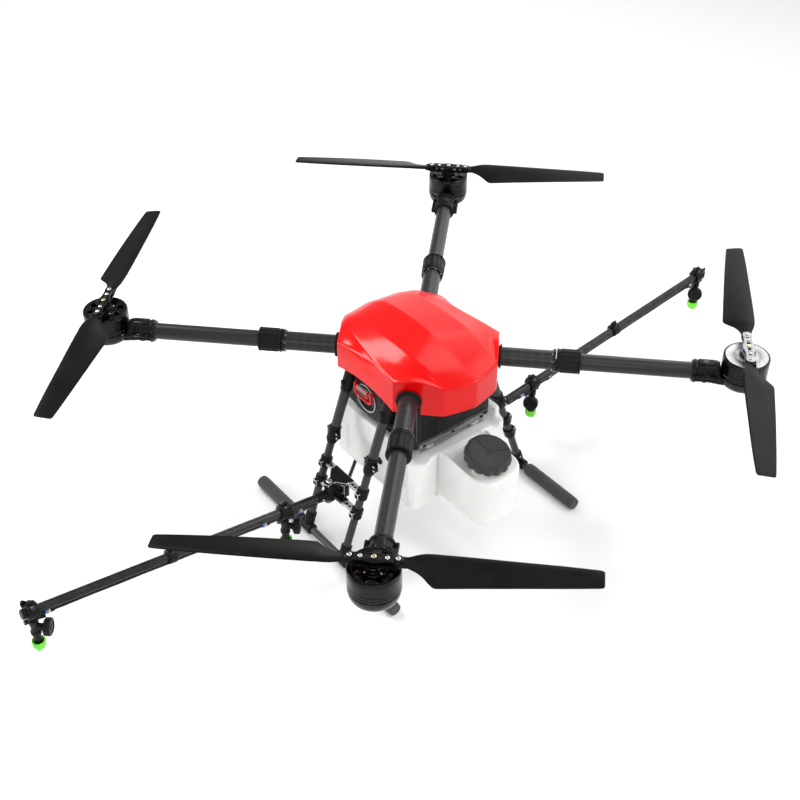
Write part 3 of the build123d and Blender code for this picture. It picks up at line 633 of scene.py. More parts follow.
def make_mount():
    p = Part()
    # Cup under the motor: turned dish with a rolled lower edge and a step under the bell.
    cup = [(0, 401.2), (33, 401.2), (38.5, 402.6), (43.2, 406.6), (45.6, 412.0), (46.4, 419.0),
        (46.4, 421.2), (47.0, 421.6), (47.0, 424.4), (46.4, 425.0), (9, 425.0), (9, 423.0),
        (0, 423.0)]
    p.turned(MOTOR_R, 0, cup, GLOSS, 96)
    # Neck: a keel that rises from the cup to the clamp.
    side = [(567, -14.5), (567, -2), (632, -2), (655, -3), (655, -19.5), (640, -19.6), (622, -18),
        (606, -15.4), (592, -14.2)]
    keel = Matrix.Translation((0, 0, ARM_Z)) @ UPRIGHT
    p.prism(side, -20.5, 20.5, BLACK, 3.0, keel, 3)
    # Clamp halves with bands, split line and bolt ears.
    for half, lo, hi in ((1, 2.0, 178.0), (-1, 182.0, 358.0)):
        for r0, r1, big in ((564, 619, 22.5), (567, 573, 24.4), (588, 594, 24.4), (609, 615, 24.4)):
            shell = arc(big, lo, hi, 28) + arc(17.6, hi, lo, 28)
            p.prism(shell, 0, r1 - r0, BLACK, 0.7, along_x(r0, 0, ARM_Z), 2)
        z0, z1 = (ARM_Z + 0.7, ARM_Z + 4.6) if half > 0 else (ARM_Z - 4.6, ARM_Z - 0.7)
        for sy in (-1, 1):
            p.box(566, 617, sy * 20.5, sy * 31, z0, z1, BLACK, 1.2)
            p.box(584, 599, sy * 21, sy * 27, z0, z1 + (2.4 if half > 0 else 0), BLACK, 1.0)
    for r in (574, 609):
        for sy in (-1, 1):
            p.screw((r, sy * 27, ARM_Z + 4.5), (0, 0, 1), 3.3, 3.0, BELL, 4.2)
    # Ridge, latch knob and hooked rib on top of the clamp.
    p.box(575, 608, -8.5, 8.5, ARM_Z + 20.5, ARM_Z + 25.4, BLACK, 1.4)
    p.lathe((591, 0, ARM_Z + 21), (591, 0, ARM_Z + 30), [(0, 0), (6.4, 0), (6.4, 4.2), (5.4, 5),
        (0, 5)], GLOSS, 32)
    hook = [(x, y, ARM_Z + 21.6 - 0.02 * y ** 2) for x, y in arc(9.5, 40, 320, 24, 612)]
    p.sweep(hook, 1.3, GLOSS, 10)
    # Stator: laminated poles with copper windings between, seen through the bell openings.
    x = MOTOR_R
    p.turned(x, 0, [(4.1, 425), (13, 425), (13, 431), (24, 431), (24, 462), (13, 462), (13, 466),
        (4.1, 466)], BELL, 48, closed=True)
    for k in range(12):
        at = Matrix.Translation((x, 0, 0)) @ Matrix.Rotation(math.radians(30 * k + 15), 4, "Z")
        p.box(22, 39.5, -3.2, 3.2, 433, 460, BELL, 0.5, at)
        p.box(37.5, 40, -8.2, 8.2, 432, 461, BELL, 0.5, at)
        p.box(25, 36.5, -5.6, 5.6, 431.5, 461.5, COPPER, 2.2, at, 3)
    return p.mesh("motor_mount")


def make_bell(top):
    """Motor bell; top is the finish of its upper face."""
    p = Part()
    x = MOTOR_R
    wall = [(43.5, 427.2), (46.4, 427.2), (47.0, 427.8), (47.0, 432.4), (46.2, 433.0),
        (46.2, 433.9), (47.0, 434.5), (47.0, 440.2), (46.3, 440.5), (46.3, 441.3), (47.0, 441.6),
        (47.0, 463.4), (46.5, 463.9), (46.5, 464.5), (47.0, 465.0), (47.0, 468.6), (46.2, 470.2),
        (44.6, 470.9), (43.2, 470.6), (43.2, 467.0), (43.5, 466.6)]
    p.turned(x, 0, wall, BELL, 128, closed=True)
    if top is BELL:
        # Spoked upper face: rim, hub and eight curved windows.
        p.turned(x, 0, [(38, 467.0), (43.3, 467.0), (43.3, 470.2), (38.6, 470.2), (38, 469.7)], top,
            128, closed=True)
        p.turned(x, 0, [(3.9, 466.4), (24, 466.4), (24, 469.6), (23.4, 470.2), (17, 470.4),
            (16.5, 471.0), (3.9, 471.0)], top, 64, closed=True)
        for k in range(8):
            spoke = arc(38.4, 45 * k - 13, 45 * k + 13, 6) + arc(23.5, 45 * k + 9, 45 * k - 9, 6)
            p.prism(spoke, 467.0, 470.0, top, 0.5, Matrix.Translation((x, 0, 0)))
    else:
        # Plain turned upper face with a shallow groove round its centre, without windows, for the
        # face that carries the painted reflection.
        p.turned(x, 0, [(3.9, 466.4), (43.3, 466.4), (43.3, 470.2), (42.6, 470.7), (25.4, 470.7),
            (24.8, 470.3), (24.2, 470.3), (23.6, 470.7), (17, 470.7), (16.5, 471.0), (3.9, 471.0)],
            top, 96, closed=True)
    p.turned(x, 0, [(0, 428.5), (4, 428.5), (4, 468), (0, 468)], STEEL, 24)
    for k in range(4):
        t = math.radians(90 * k + 45)
        p.screw((x + 19.8 * math.cos(t), 19.8 * math.sin(t), 470.2), (0, 0, 1), 2.0, 0.7, STEEL)
    return p.mesh("motor_bell")


def slot_outline(y0, y1, w):
    """Rounded slot along Y, with its end arcs centred at y0 and y1."""
    return arc(w, 0, 180, 8, 0, y1) + arc(w, 180, 360, 8, 0, y0)


def make_hub(plate, nut):
    """Two long plates that hold the blades, with slots, bolts and a centre nut."""
    p = Part()
    x = MOTOR_R
    at = Matrix.Translation((x, 0, 0))
    waist = []
    for e, start in ((1, 0), (-1, 180)):
        waist += arc(9.6, start - 25, start + 205, 10, 0, e * PIVOT)
        waist.append((-e * 8.2, e * 20))
        waist += arc(12.8, start + 150, start + 210, 2)
        waist.append((-e * 8.2, -e * 20))
    for z0 in (478.5, 490.3):
        p.prism(waist, z0, z0 + 3.2, plate, 0.7, at)
    # Raised rim rails and pocket ribs on the face of the upper plate.
    for sx in (-1, 1):
        p.box(sx * 5.6, sx * 7.8, -34, 34, 493.3, 494.3, plate, 0.35, at)
    for y in (-32, -15, 15, 32):
        p.box(-6, 6, y - 1.3, y + 1.3, 493.3, 494.1, plate, 0.3, at)
    # The dark slots are thin black sheets laid on the plate face: painted shade where holes through
    # the plate would show.
    for y0, y1 in ((-30, -28), (-18.4, -18), (18, 18.4), (28, 30), (-11, -9.5), (9.5, 11)):
        p.prism(slot_outline(y0, y1, 3.9), 493.2, 493.62, RUBBER_AND_SLOT_SHADE, 0.0, at)
    p.turned(x, 0, [(0, 471), (16, 471), (16, 477.3), (15, 478.5), (11, 478.6), (11, 490.2),
        (0, 490.2)], BELL, 64)
    for e in (-1, 1):
        p.rod((x, e * SPACER, 478.6), (x, e * SPACER, 490.2), 4.5, BELL, 24, 0.3)
        p.rod((x, e * PIVOT, 478.6), (x, e * PIVOT, 493.4), 2.5, STEEL, 20, 0.2)
        p.screw((x, e * PIVOT, 493.45), (0, 0, 1), 4.5, 2.9, STEEL)
        p.screw((x, e * SPACER, 493.45), (0, 0, 1), 4.0, 2.4, STEEL)
    p.prism(arc(5.6, 0, 300, 5), 493.4, 495.4, nut, 0.4, at)
    p.turned(x, 0, [(0, 495.2), (3.0, 495.2), (3.0, 496.0), (2.6, 496.4), (0, 496.4)], STEEL, 24)
    return p.mesh("prop_hub")


STATIONS = [  # radius, leading offset, trailing offset, thickness, pitch in degrees
    (53, 10.5, -10.5, 7.4, 3), (62, 13, -13, 7.4, 8), (72, 17, -17, 7.2, 12),
    (84, 20, -25, 7.0, 14.5), (95, 21, -36, 6.7, 15),
    (103, 21.5, -42.5, 6.4, 14.5), (110, 21.5, -43, 6.2, 14),
    (160, 22, -38.5, 5.2, 12), (230, 22, -32, 4.4, 9.5), (310, 22, -24, 3.4, 7.5),
    (360, 21, -18.5, 2.6, 6.5), (377, 20, -16, 2.0, 6), (380.6, 17, -13, 1.4, 6)]
UPPER = [(0.0, 0.0), (0.012, 0.34), (0.04, 0.6), (0.1, 0.86), (0.2, 1.0), (0.32, 0.98), (0.45, 0.9),
    (0.6, 0.7), (0.75, 0.45), (0.88, 0.25), (1.0, 0.12)]
LOWER = [(1.0, -0.06), (0.85, -0.08), (0.7, -0.1), (0.5, -0.18), (0.35, -0.25), (0.2, -0.32),
    (0.1, -0.33), (0.03, -0.24)]


def between(table, r):
    """Smoothly interpolated row of the station table at radius r."""
    k = 0
    while k < len(table) - 2 and table[k + 1][0] < r:
        k += 1
    a = table[max(k - 1, 0)]
    b = table[k]
    c = table[k + 1]
    d = table[min(k + 2, len(table) - 1)]
    t = min(1.0, max(0.0, (r - b[0]) / (c[0] - b[0])))
    out = [r]
    for j in range(1, 5):
        m0 = (c[j] - a[j]) / max(c[0] - a[0], 1e-6) * (c[0] - b[0])
        m1 = (d[j] - b[j]) / max(d[0] - b[0], 1e-6) * (c[0] - b[0])
        h00 = 2 * t ** 3 - 3 * t ** 2 + 1
        h10 = t ** 3 - 2 * t ** 2 + t
        h01 = -2 * t ** 3 + 3 * t ** 2
        h11 = t ** 3 - t ** 2
        out.append(h00 * b[j] + h10 * m0 + h01 * c[j] + h11 * m1)
    return out


def make_blade(end, ccw):
    """Blade with a round root; end +1 lies along the tangent, -1 against it."""
    p = Part()
    lead = -1.0 if ccw else 1.0
    radii = [53, 55, 58, 61, 64, 68, 72, 76, 80, 84, 88, 92, 96, 101, 106, 112]
    radii += [120 + 12 * k for k in range(20)] + [356, 362, 367, 371, 374.5, 377, 378.8, 380, 380.6]
    rings = []
    for r in radii:
        _, le, te, t, pitch = between(STATIONS, r)
        a = math.radians(pitch)
        ring = []
        for u, v in UPPER + LOWER:
            c = le + (te - le) * u
            h = v * t * 0.70
            ring.append((MOTOR_R + end * lead * (c * math.cos(a) - h * math.sin(a)), end * r,
                BLADE_Z - 0.5 + c * math.sin(a) + h * math.cos(a)))
        rings.append(ring)
    p.loft(rings, BLADE)
    root = arc(10.4, 0, -180, 16, 0, PIVOT) + [(-10.4, 56), (10.4, 56)]
    outline = [(x, end * y) for x, y in root]
    p.prism(outline, BLADE_Z - 3.95, BLADE_Z + 3.95, BLADE, 1.1,
        Matrix.Translation((MOTOR_R, 0, 0)), 3)
    return p.mesh("blade", 40.0)


outer_mesh = make_outer_arm()
nut_mesh = make_nut()
mount_mesh = make_mount()
bell_dark = make_bell(BELL)
bell_painted_reflection = make_bell(PAINTED_REFLECTION_GREY)
hub_dark = make_hub(BELL, BRASS)
hub_painted_reflection = make_hub(PAINTED_REFLECTION_GREY, BRASS)
blades = {(e, c): make_blade(e, c) for e in (1, -1) for c in (True, False)}

for key, turn in TURN.items():
    # The front right rotor takes the painted reflection: its bell top and hub plates are painted
    # light grey, standing for light reflected off black metal.
    bright = key == "fr"
    ccw = SPIN_CCW[key]
    place(outer_mesh, "outer_arm_tube_" + key, "arm_" + key, "carbon", "outer_arm_" + key, at=turn)
    place(mount_mesh, "motor_clamp_" + key, "arm_" + key, "black_plastic", "motor_mount_" + key,
        at=turn)
    place(nut_mesh, "ribbed_nut_" + key, "nut_" + key, "black_plastic", "lock_nut_" + key, at=turn)
    place(bell_painted_reflection if bright else bell_dark, "bell_" + key, "rotor_" + key, "black_metal",
        "motor_bell_" + key, at=turn)
    place(hub_painted_reflection if bright else hub_dark, "hub_" + key, "rotor_" + key, "black_metal",
        "prop_hub_" + key, at=turn)
    place(blades[1, ccw], "prop_blade_a_" + key, "prop_a_" + key, "blade_black", "blade_a_" + key,
        at=turn)
    place(blades[-1, ccw], "prop_blade_b_" + key, "prop_b_" + key, "blade_black", "blade_b_" + key,
        at=turn)


# --------------------------------------------------------------- inner arms
def rotated(p, key):
    return TURN[key] @ Vector(p)


inner = Part()
sockets = Part()
seals = Part()
for key in ARMS:
    def q(r, side=0.0, up=0.0):
        return rotated(along(r, side, up), key)

    inner.sleeve(q(45), q(280), tube_profile(20.0, 18.0, 235), CARBON_INNER, 64)
    sockets.sleeve(q(250), q(251), [(9, 0), (17.9, 0), (17.9, 29.9), (22.6, 30.1), (24.0, 31.0),
        (24.0, 33.0), (23.0, 33.4), (23.0, 34.2), (24.0, 34.6), (24.0, 35.8), (23.4, 36.4),
        (9, 36.4)], GLOSS, 64)
    for k in range(8):
        t = math.radians(45 * k + 22.5)
        a = q(279.6, 21.4 * math.cos(t), 21.4 * math.sin(t))
        sockets.screw(a, q(279) - q(280), 1.5, 1.1, STEEL)
    for side in (-1, 1):
        at = TURN[key] @ Matrix.Translation((0, 0, FOLD_Z))
        lo, hi = sorted((side * 5.6, side * 12.4))
        sockets.box(286, 292, lo, hi, -5.4, 5.4, GLOSS, 0.5, at)
        sockets.lathe(rotated((292, lo, FOLD_Z), key), rotated((292, hi, FOLD_Z), key), [(0, 0),
            (5.4, 0), (5.4, 6.8), (0, 6.8)], GLOSS, 32)
    seals.sleeve(q(163), q(174.5), [(20.1, 0), (22.6, 0), (23.3, 0.7), (23.3, 3.5), (22.7, 3.6),
        (22.7, 7.6), (26.0, 7.7), (26.5, 8.3), (26.4, 9.4), (24.6, 11.0), (21.6, 11.5),
        (20.1, 11.3)], RUBBER_AND_SLOT_SHADE, 96)
inner.done("inner_tubes", "airframe", "carbon", "inner_arm_tubes")
sockets.done("arm_socket_collars", "airframe", "black_metal", "hinge_sockets")
seals.done("cover_grommets", "airframe", "rubber_black", "arm_grommets")

# ---------------------------------------------------------------- top cover
RIM_Z = 389.0
WALL = 2.6
# Each ridge runs from the front edge to the rear edge, on the -X half.
CENTRE = [(0, -187, 453), (0, -160, 462), (0, -129, 472), (0, -93, 481), (0, -48, 489),
    (0, 7, 493.6), (0, 60, 491.6), (0, 110, 484), (0, 150, 469), (0, 180, 446)]
SIDE = [(-70, -170, 457), (-71, -152, 463.5), (-73, -128, 474), (-75, -95, 483), (-76, -50, 486),
    (-76, 0, 486.5), (-75, 55, 484.5), (-73, 105, 480), (-71, 141, 466), (-70, 166, 450)]
OUTER = [(-137, -99, 463.5), (-136.5, -90, 464.5), (-135, -72, 465), (-133, -46, 465),
    (-129, -15, 465), (-124, 14, 466), (-115, 60, 470), (-106, 98, 470.5), (-99, 126, 467),
    (-104, 132, 459)]
CREASE = [(-141, -95, 461.5), (-140, -86, 461.5), (-138, -66, 461.5), (-135, -40, 460.5),
    (-132, -10, 458.5), (-131, 14, 457.5), (-132, 42, 457), (-136, 68, 456), (-139, 84, 455),
    (-141, 95, 452)]
NOSE = [(-35, -180, 455), (-88, -152, 466), (-108, -130.5, 475)]
TAIL = [(-35, 174, 447), (-80, 157, 453), (-92, 146, 457)]
RIDGE_SHARP, SIDE_SHARP, RIM_SHARP, CORNER_SHARP = 0.5, 0.4, 0.42, 0.5


def cover_columns():
    """Points of the -X half in columns from the centre ridge out to the wall crease."""
    ridge = [[Vector(p) for p in line] for line in (CENTRE, SIDE, OUTER, CREASE)]
    rows = len(CENTRE)

    def between(a, b, share, front, rear):
        line = [p.lerp(q, share) for p, q in zip(a, b)]
        start = Vector(front) - line[0]
        end = Vector(rear) - line[-1]
        for i in range(rows):
            s = max(0.0, 1 - i / 3.2) ** 1.6
            e = max(0.0, 1 - (rows - 1 - i) / 3.2) ** 1.6
            line[i] += start * s + end * e
        return line

    return [ridge[0], between(ridge[0], ridge[1], 0.5, NOSE[0], TAIL[0]), ridge[1],
        between(ridge[1], ridge[2], 0.34, NOSE[1], TAIL[1]), between(ridge[1], ridge[2], 0.67,
        NOSE[2], TAIL[2]), ridge[2], ridge[3]]


def cover_cage():
    bm = bmesh.new()
    weight = bm.edges.layers.float.new("crease_edge")
    columns = cover_columns()
    rows = len(CENTRE)
    grid = {}
    for c, line in enumerate(columns):
        for r, p in enumerate(line):
            grid[c, r] = bm.verts.new(p)
            grid[-c, r] = grid[c, r] if c == 0 else bm.verts.new((-p.x, p.y, p.z))
    last = len(columns) - 1
    for c in range(-last, last):
        for r in range(rows - 1):
            bm.faces.new([grid[c, r], grid[c + 1, r], grid[c + 1, r + 1], grid[c, r + 1]])
    loop = [(c, 0) for c in range(-last, last + 1)] + [(last, r) for r in range(1, rows)]
    loop += [(c, rows - 1) for c in range(last - 1, -last - 1, -1)]
    loop += [(-last, r) for r in range(rows - 2, 0, -1)]
    above = [grid[k] for k in loop]
    for level in (RIM_Z + 46, RIM_Z + 22, RIM_Z):
        under = []
        for key, v in zip(loop, above):
            flare = 141.0 / max(abs(grid[key].co.x), 131.0) if abs(key[0]) == last else 1.0
            under.append(bm.verts.new((grid[key].co.x * flare, grid[key].co.y, level)))
        for i in range(len(loop)):
            j = (i + 1) % len(loop)
            bm.faces.new([above[i], under[i], under[j], above[j]])
        above = under
    bmesh.ops.recalc_face_normals(bm, faces=bm.faces)
    place_of = {v: k for k, v in grid.items()}
    corners = {(0, 0), (2, 0), (last, 0), (0, rows - 1), (2, rows - 1), (last, rows - 1)}
    upright = {(grid[c, r].co.x * s, grid[c, r].co.y) for c, r in corners for s in (-1, 1)}
    for e in bm.edges:
        a, b = [place_of.get(v) for v in e.verts]
        x, y, z = e.verts[0].co
        if a and b:
            if a[0] == b[0] and abs(a[0]) in (0, 2, 5, last):
                e[weight] = RIDGE_SHARP if abs(a[0]) in (0, 2) else SIDE_SHARP
            elif a[1] == b[1] and a[1] in (0, rows - 1):
                e[weight] = RIM_SHARP
        elif any(abs(x - u) < 0.1 and abs(y - w) < 0.1 for u, w in upright):
            if (e.verts[1].co - e.verts[0].co).z ** 2 > 100:
                e[weight] = CORNER_SHARP
    me = bpy.data.meshes.new("cover_cage")
    bm.to_mesh(me)
    bm.free()
    return me


def build_cover():
    o = bpy.data.objects.new("cage", cover_cage())
    scene.collection.objects.link(o)
    mod = o.modifiers.new("round", "SUBSURF")
    mod.levels = 4
    mod.render_levels = 4
    mod.boundary_smooth = "PRESERVE_CORNERS"
    applied(o)
    bm = bmesh.new()
    bm.from_mesh(o.data)
    bpy.data.objects.remove(o)
    rim = [e for e in bm.edges if e.is_boundary]
    for f in bmesh.ops.holes_fill(bm, edges=rim, sides=0)["faces"]:
        f.material_index = 1
    bmesh.ops.scale(bm, vec=(MM, MM, MM), verts=bm.verts)
    me = bpy.data.meshes.new("top_shell")
    bm.to_mesh(me)
    bm.free()
    me.materials.append(RED)
    me.materials.append(RUBBER_AND_SLOT_SHADE)
    o = place(me, "top_shell", "airframe", "cover_red", "top_cover")
    radius, centre = 321, 83
    for sx in (-1, 1):
        arch = Part()
        arch.index(RED)
        arch.lathe((sx * 100, 0, centre), (sx * 160, 0, centre),
            [(0, 0), (radius, 0), (radius, 60), (0, 60)], RUBBER_AND_SLOT_SHADE, 512)
        cut(o, arch.mesh("arch"))
    slot = 24
    for key in ARMS:
        hole = Part()
        hole.index(RED)
        outline = arc(slot, 0, 180, 40) + [(-slot, -43), (slot, -43)]
        hole.prism(outline, 0, 100, RUBBER_AND_SLOT_SHADE, 0.0, TURN[key] @ along_x(100, 0, ARM_Z))
        cut(o, hole.mesh("hole"))
    bm = bmesh.new()
    bm.from_mesh(o.data)
    inner = [f for f in bm.faces if f.material_index == 1]
    bmesh.ops.delete(bm, geom=inner, context="FACES")
    loose = [v for v in bm.verts if not v.link_faces]
    bmesh.ops.delete(bm, geom=loose, context="VERTS")
    bm.to_mesh(o.data)
    bm.free()
    mod = o.modifiers.new("skin", "SOLIDIFY")
    mod.thickness = WALL * MM
    mod.offset = -1.0
    applied(o)
    o.data.shade_smooth()
    o.data.set_sharp_from_angle(angle=math.radians(50))


build_cover()

# Plates, clamps, pins, rails and the controller keep their shape and take these finishes.
KEEP = {"upper_plate": CARBON_LEG, "lower_plate": CARBON_LEG, "arm_clamps": BLACK,
    "hinge_pins": STEEL, "tank_rails": ALU, "flight_controller": BLACK}
for node, mat in KEEP.items():
    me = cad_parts[node].data
    me.materials.clear()
    me.materials.append(mat)

# --------------------------------------------------------------- battery bay
BAY_X = 104.0
BAY_Y = 118.0
BAY_Z0 = 278.0
BAY_Z1 = 398.3


def build_bay():
    p = Part()
    p.prism(rounded_rect(-BAY_X, BAY_X, -BAY_Y, BAY_Y, 10), BAY_Z0, BAY_Z1, BAYMAT, 1.6)
    o = p.done("battery_box", "airframe", "black_plastic", "battery_bay")
    # Socket for the battery, hollows beside it and two seams in the front wall.
    cut_box(o, -BAY_X - 5, 78.6, -51, 51, 305.4, 386.9, BAYMAT)
    for y0, y1 in ((-115, -54), (54, 115)):
        cut_box(o, -101, 101, y0, y1, 281, 402, BAYMAT)
    for x in (-46, 30):
        cut_box(o, x - 0.9, x + 0.9, -BAY_Y - 2, -BAY_Y + 1.2, 292, 396, BAYMAT)
    o.data.shade_smooth()
    o.data.set_sharp_from_angle(angle=math.radians(30))
    # Trim strip with notches, lip and side beads.
    q = Part()
    strip = [(-92, 0), (84, 0), (84, 7), (80, 11.6), (34, 11.6), (31, 9.4), (-24, 9.4), (-27, 11.6),
        (-86, 11.6), (-92, 8)]
    flat = Matrix.Translation((0, -BAY_Y, BAY_Z0 + 0.2)) @ UPRIGHT
    q.prism(strip, -0.1, 3.6, GREY, 0.8, flat)
    q.box(-96, 96, -BAY_Y - 1.6, -BAY_Y + 1, BAY_Z0 + 12.5, BAY_Z0 + 15.5, BAYMAT, 0.7)
    q.box(-BAY_X - 1.2, -BAY_X + 1, -108, 108, BAY_Z0 + 4, BAY_Z0 + 12, BAYMAT, 0.5)
    q.box(BAY_X - 1, BAY_X + 1.2, -108, 108, BAY_Z0 + 4, BAY_Z0 + 12, BAYMAT, 0.5)
    for x in (-98, 88):
        q.box(x, x + 10, -BAY_Y - 1.2, -BAY_Y + 1, 300, 392, BAYMAT, 0.5)
    q.done("bay_trim", "airframe", "black_plastic")


build_bay()


def build_battery():
    p = Part()
    end = along_x(-124)
    p.prism(rounded_rect(-50, 50, 306.2, 385.8, 6), 0, 202, BLACK, 1.5, end)
    p.prism(rounded_rect(-50, 50, 306, 386, 9), -4, 0.5, BAYMAT, 1.2, end)
    # Round recessed face with a pale ring, and shallow ribs beside it.
    c = (-128, 12, 350)
    out = (-129, 12, 350)
    p.lathe(c, out, [(0, -0.4), (33.5, -0.4), (33.5, 0.6), (32.8, 1.2), (31.2, 1.2), (30.6, 0.5),
        (0, 0.3)], GLOSS, 96)
    p.sleeve(c, out, [(30.7, 0.2), (32.9, 0.2), (32.9, 1.9), (32.3, 2.4), (31.3, 2.4), (30.7, 1.9)],
        PALE, 96)
    for k in range(4):
        p.box(-129.2, -127.6, -46 + 3.2 * k, -44.4 + 3.2 * k, 312, 322, BLACK, 0.3)
    p.box(-129.4, -127.6, -44, -36, 364, 380, BLACK, 0.6)
    p.done("battery_pack_shell", "battery_pack", "battery_shell", "battery")

    h = Part()
    # Flat red band bent in a U round the grey plug.
    low, top, y0, y1, corner, half = 349.0, 378.0, -12.0, 42.0, 9.0, 2.3
    path = [(y0, top), (y0, low + corner + 2)]
    path += arc(corner, 180, 270, 8, y0 + corner, low + corner)
    path += arc(corner, 270, 360, 8, y1 - corner, low + corner)
    path += [(y1, low + corner + 2), (y1, top)]
    inner_edge = []
    outer_edge = []
    for k, (y, z) in enumerate(path):
        a = Vector(path[max(k - 1, 0)])
        b = Vector(path[min(k + 1, len(path) - 1)])
        d = (b - a).normalized()
        n = Vector((d.y, -d.x))
        outer_edge.append((y + n.x * half, z + n.y * half))
        inner_edge.append((y - n.x * half, z - n.y * half))
    h.prism(outer_edge + inner_edge[::-1], 0, 8.6, STRAP, 0.9, along_x(-137))
    h.box(-140, -129, y0 + 8, y1 - 8, low + 11, top - 1, PLUG, 2.2, Matrix(), 3)
    h.box(-140.4, -137, y0 + 10.5, y1 - 10.5, low + 14, low + 22, GLOSS, 0.8)
    h.box(-139.6, -136.4, y0 + 10, y1 - 10, top - 1.4, top - 0.6, PALE, 0.3)
    h.done("pull_loop", "battery_pack", "strap_red", "battery_handle")


build_battery()


# ------------------------------------------------------------ tank and cap
NECK_Y = -233


def build_tank():
    p = Part()
    p.prism(rounded_rect(-129.5, 129.5, -146.5, 134.5, 18), 141.4, 264, TANK)
    for sx in (-1, 1):
        x0, x1 = sorted((sx * 108.2, sx * 129.5))
        p.prism(rounded_rect(x0, x1, -125, 112, 8), 240, 286.5, TANK)
    tilt = math.radians(12)
    c = Vector((0, NECK_Y, 303))
    axis = Vector((0, -math.sin(tilt), math.cos(tilt)))
    nose = rounded_rect(-57.5, 57.5, -286.5, -125, 34, 8)
    low = [Vector((x, y, 150.5)) for x, y in nose]
    high = []
    for x, y in nose:
        z = 276 + (y - NECK_Y) * math.tan(tilt)
        high.append(Vector((x, y, min(z, 286.0) if y < -147 else 262)))
    n = len(nose)
    polys = [list(range(n))[::-1], list(range(n, 2 * n))]
    polys += [(k, (k + 1) % n, n + (k + 1) % n, n + k) for k in range(n)]
    p.solid(low + high, polys, TANK)
    p.lathe(c - axis * 34, c - axis * 6.5, [(0, 0), (41, 0), (41, 6), (36, 8), (36, 27.5),
        (0, 27.5)], TANK, 64)
    # Moulded bosses, lip under the bay and side panels.
    p.box(-96, 92, -150, -122, 262, 271, TANK, 0.0)
    p.box(-100, -62, -149.5, -130, 170, 258, TANK, 0.0)
    p.box(62, 104, -149.5, -130, 170, 258, TANK, 0.0)
    o = p.done("tank_shell", "tank", "tank_white", "water_tank")
    soften(o, 3.0, 1, "tank_shell")
    # Recesses: side pockets, the step beside the nose, and a panel on each flank.
    for sx in (-1, 1):
        tool = Part()
        tool.lathe((sx * 100, -152, 276), (sx * 100, -100, 276), [(0, 0), (17, 0), (15, 52),
            (0, 52)], TANK, 48)
        cut(o, tool.mesh("pocket"))
        cut_box(o, sx * 127, sx * 133, -96, 84, 160, 236, TANK)
        cut_box(o, sx * 59, sx * 66, -154, -138, 150, 268, TANK)
    cut_box(o, -34, 34, -292, -284.5, 168, 236, TANK)
    soften(o, 2.6, 5, "tank_shell")
    o.data.materials.clear()
    o.data.materials.append(TANK)
    for q in o.data.polygons:
        q.material_index = 0
    # T lugs, neck thread and small fittings stay crisp.
    f = Part()
    for sx in (-1, 1):
        f.box(sx * 62 - 4, sx * 62 + 4, -120, 110, 262, 270, TANK, 0.6)
        f.box(sx * 62 - 9, sx * 62 + 9, -120, 110, 269.1, 273.4, TANK, 0.8)
    for k in range(3):
        z = -18.0 + 4.2 * k
        f.ring(c + axis * z, c + axis * (z + 1.8), 37.4, 34.0, TANK, 64, 0.5)
    f.screw((-78, -147.2, 232), (0, -1, 0), 2.6, 1.4, STEEL)
    f.lathe((-130.0, -30, 205), (-132, -30, 205), [(0, -3), (9, -3), (9, -0.6), (0, -0.6)], BLACK,
        32)
    f.done("tank_fittings", "tank", "tank_white")

    # Cap: scalloped skirt, flat face with spokes, rim arcs and a centre mark.
    place_cap = Matrix.Translation(c) @ Matrix.Rotation(tilt, 4, "X")
    k = Part()

    def lobes(t, r, z):
        if r < 46.0 or z > -3.4:
            return r
        return r - 3.4 * (0.5 - 0.5 * math.cos(t * 14)) ** 2

    k.turned(0, 0, [(36.4, -22), (48.2, -22), (49.6, -20.6), (49.9, -17), (49.6, -7.6),
        (48.8, -4.8), (47.0, -3.2), (46.4, -2.4), (45.4, -0.9), (43.8, 0), (0.0, 0), (0, -4.5),
        (36.4, -4.5)], CAPMAT, 252, shape=lobes)
    o = bpy.data.objects.new("cap_tool", k.mesh("round_cap", 30.0))
    scene.collection.objects.link(o)
    grooves = []
    for angle in (95, 215, 335):
        g = Part()
        at = Matrix.Rotation(math.radians(angle), 4, "Z")
        g.box(9, 40, -0.75, 0.75, -1.0, 2.0, CAPMAT, 0.0, at)
        grooves.append(g.mesh("groove"))
    for r in (2.6, 7.4, 41.6):
        g = Part()
        g.sleeve((0, 0, -0.8), (0, 0, 2), [(r - 0.6, 0), (r + 0.6, 0), (r + 0.6, 3), (r - 0.6, 3)],
            CAPMAT, 96)
        grooves.append(g.mesh("groove"))
    cut(o, *grooves)
    me = o.data
    bpy.data.objects.remove(o)
    me.shade_smooth()
    me.set_sharp_from_angle(angle=math.radians(30))
    place(me, "round_cap", "cap", "cap_grey", "filler_cap",
        at=Matrix([[v * (MM if j == 3 and i < 3 else 1.0) for j, v in enumerate(row)] for i,
        row in enumerate(place_cap)]))


build_tank()


# ------------------------------------------------------------ landing gear
LEG_Y = 66.0
LEG_SLOPE = (257.0 - 132.0) / (374.0 - 15.0)
SKID_X = 257.0
SKID_Z = 15.0


def leg_x(z):
    return 132.0 + (374.0 - z) * LEG_SLOPE


def leg_point(sx, sy, z):
    return Vector((sx * leg_x(z), sy * LEG_Y, z))


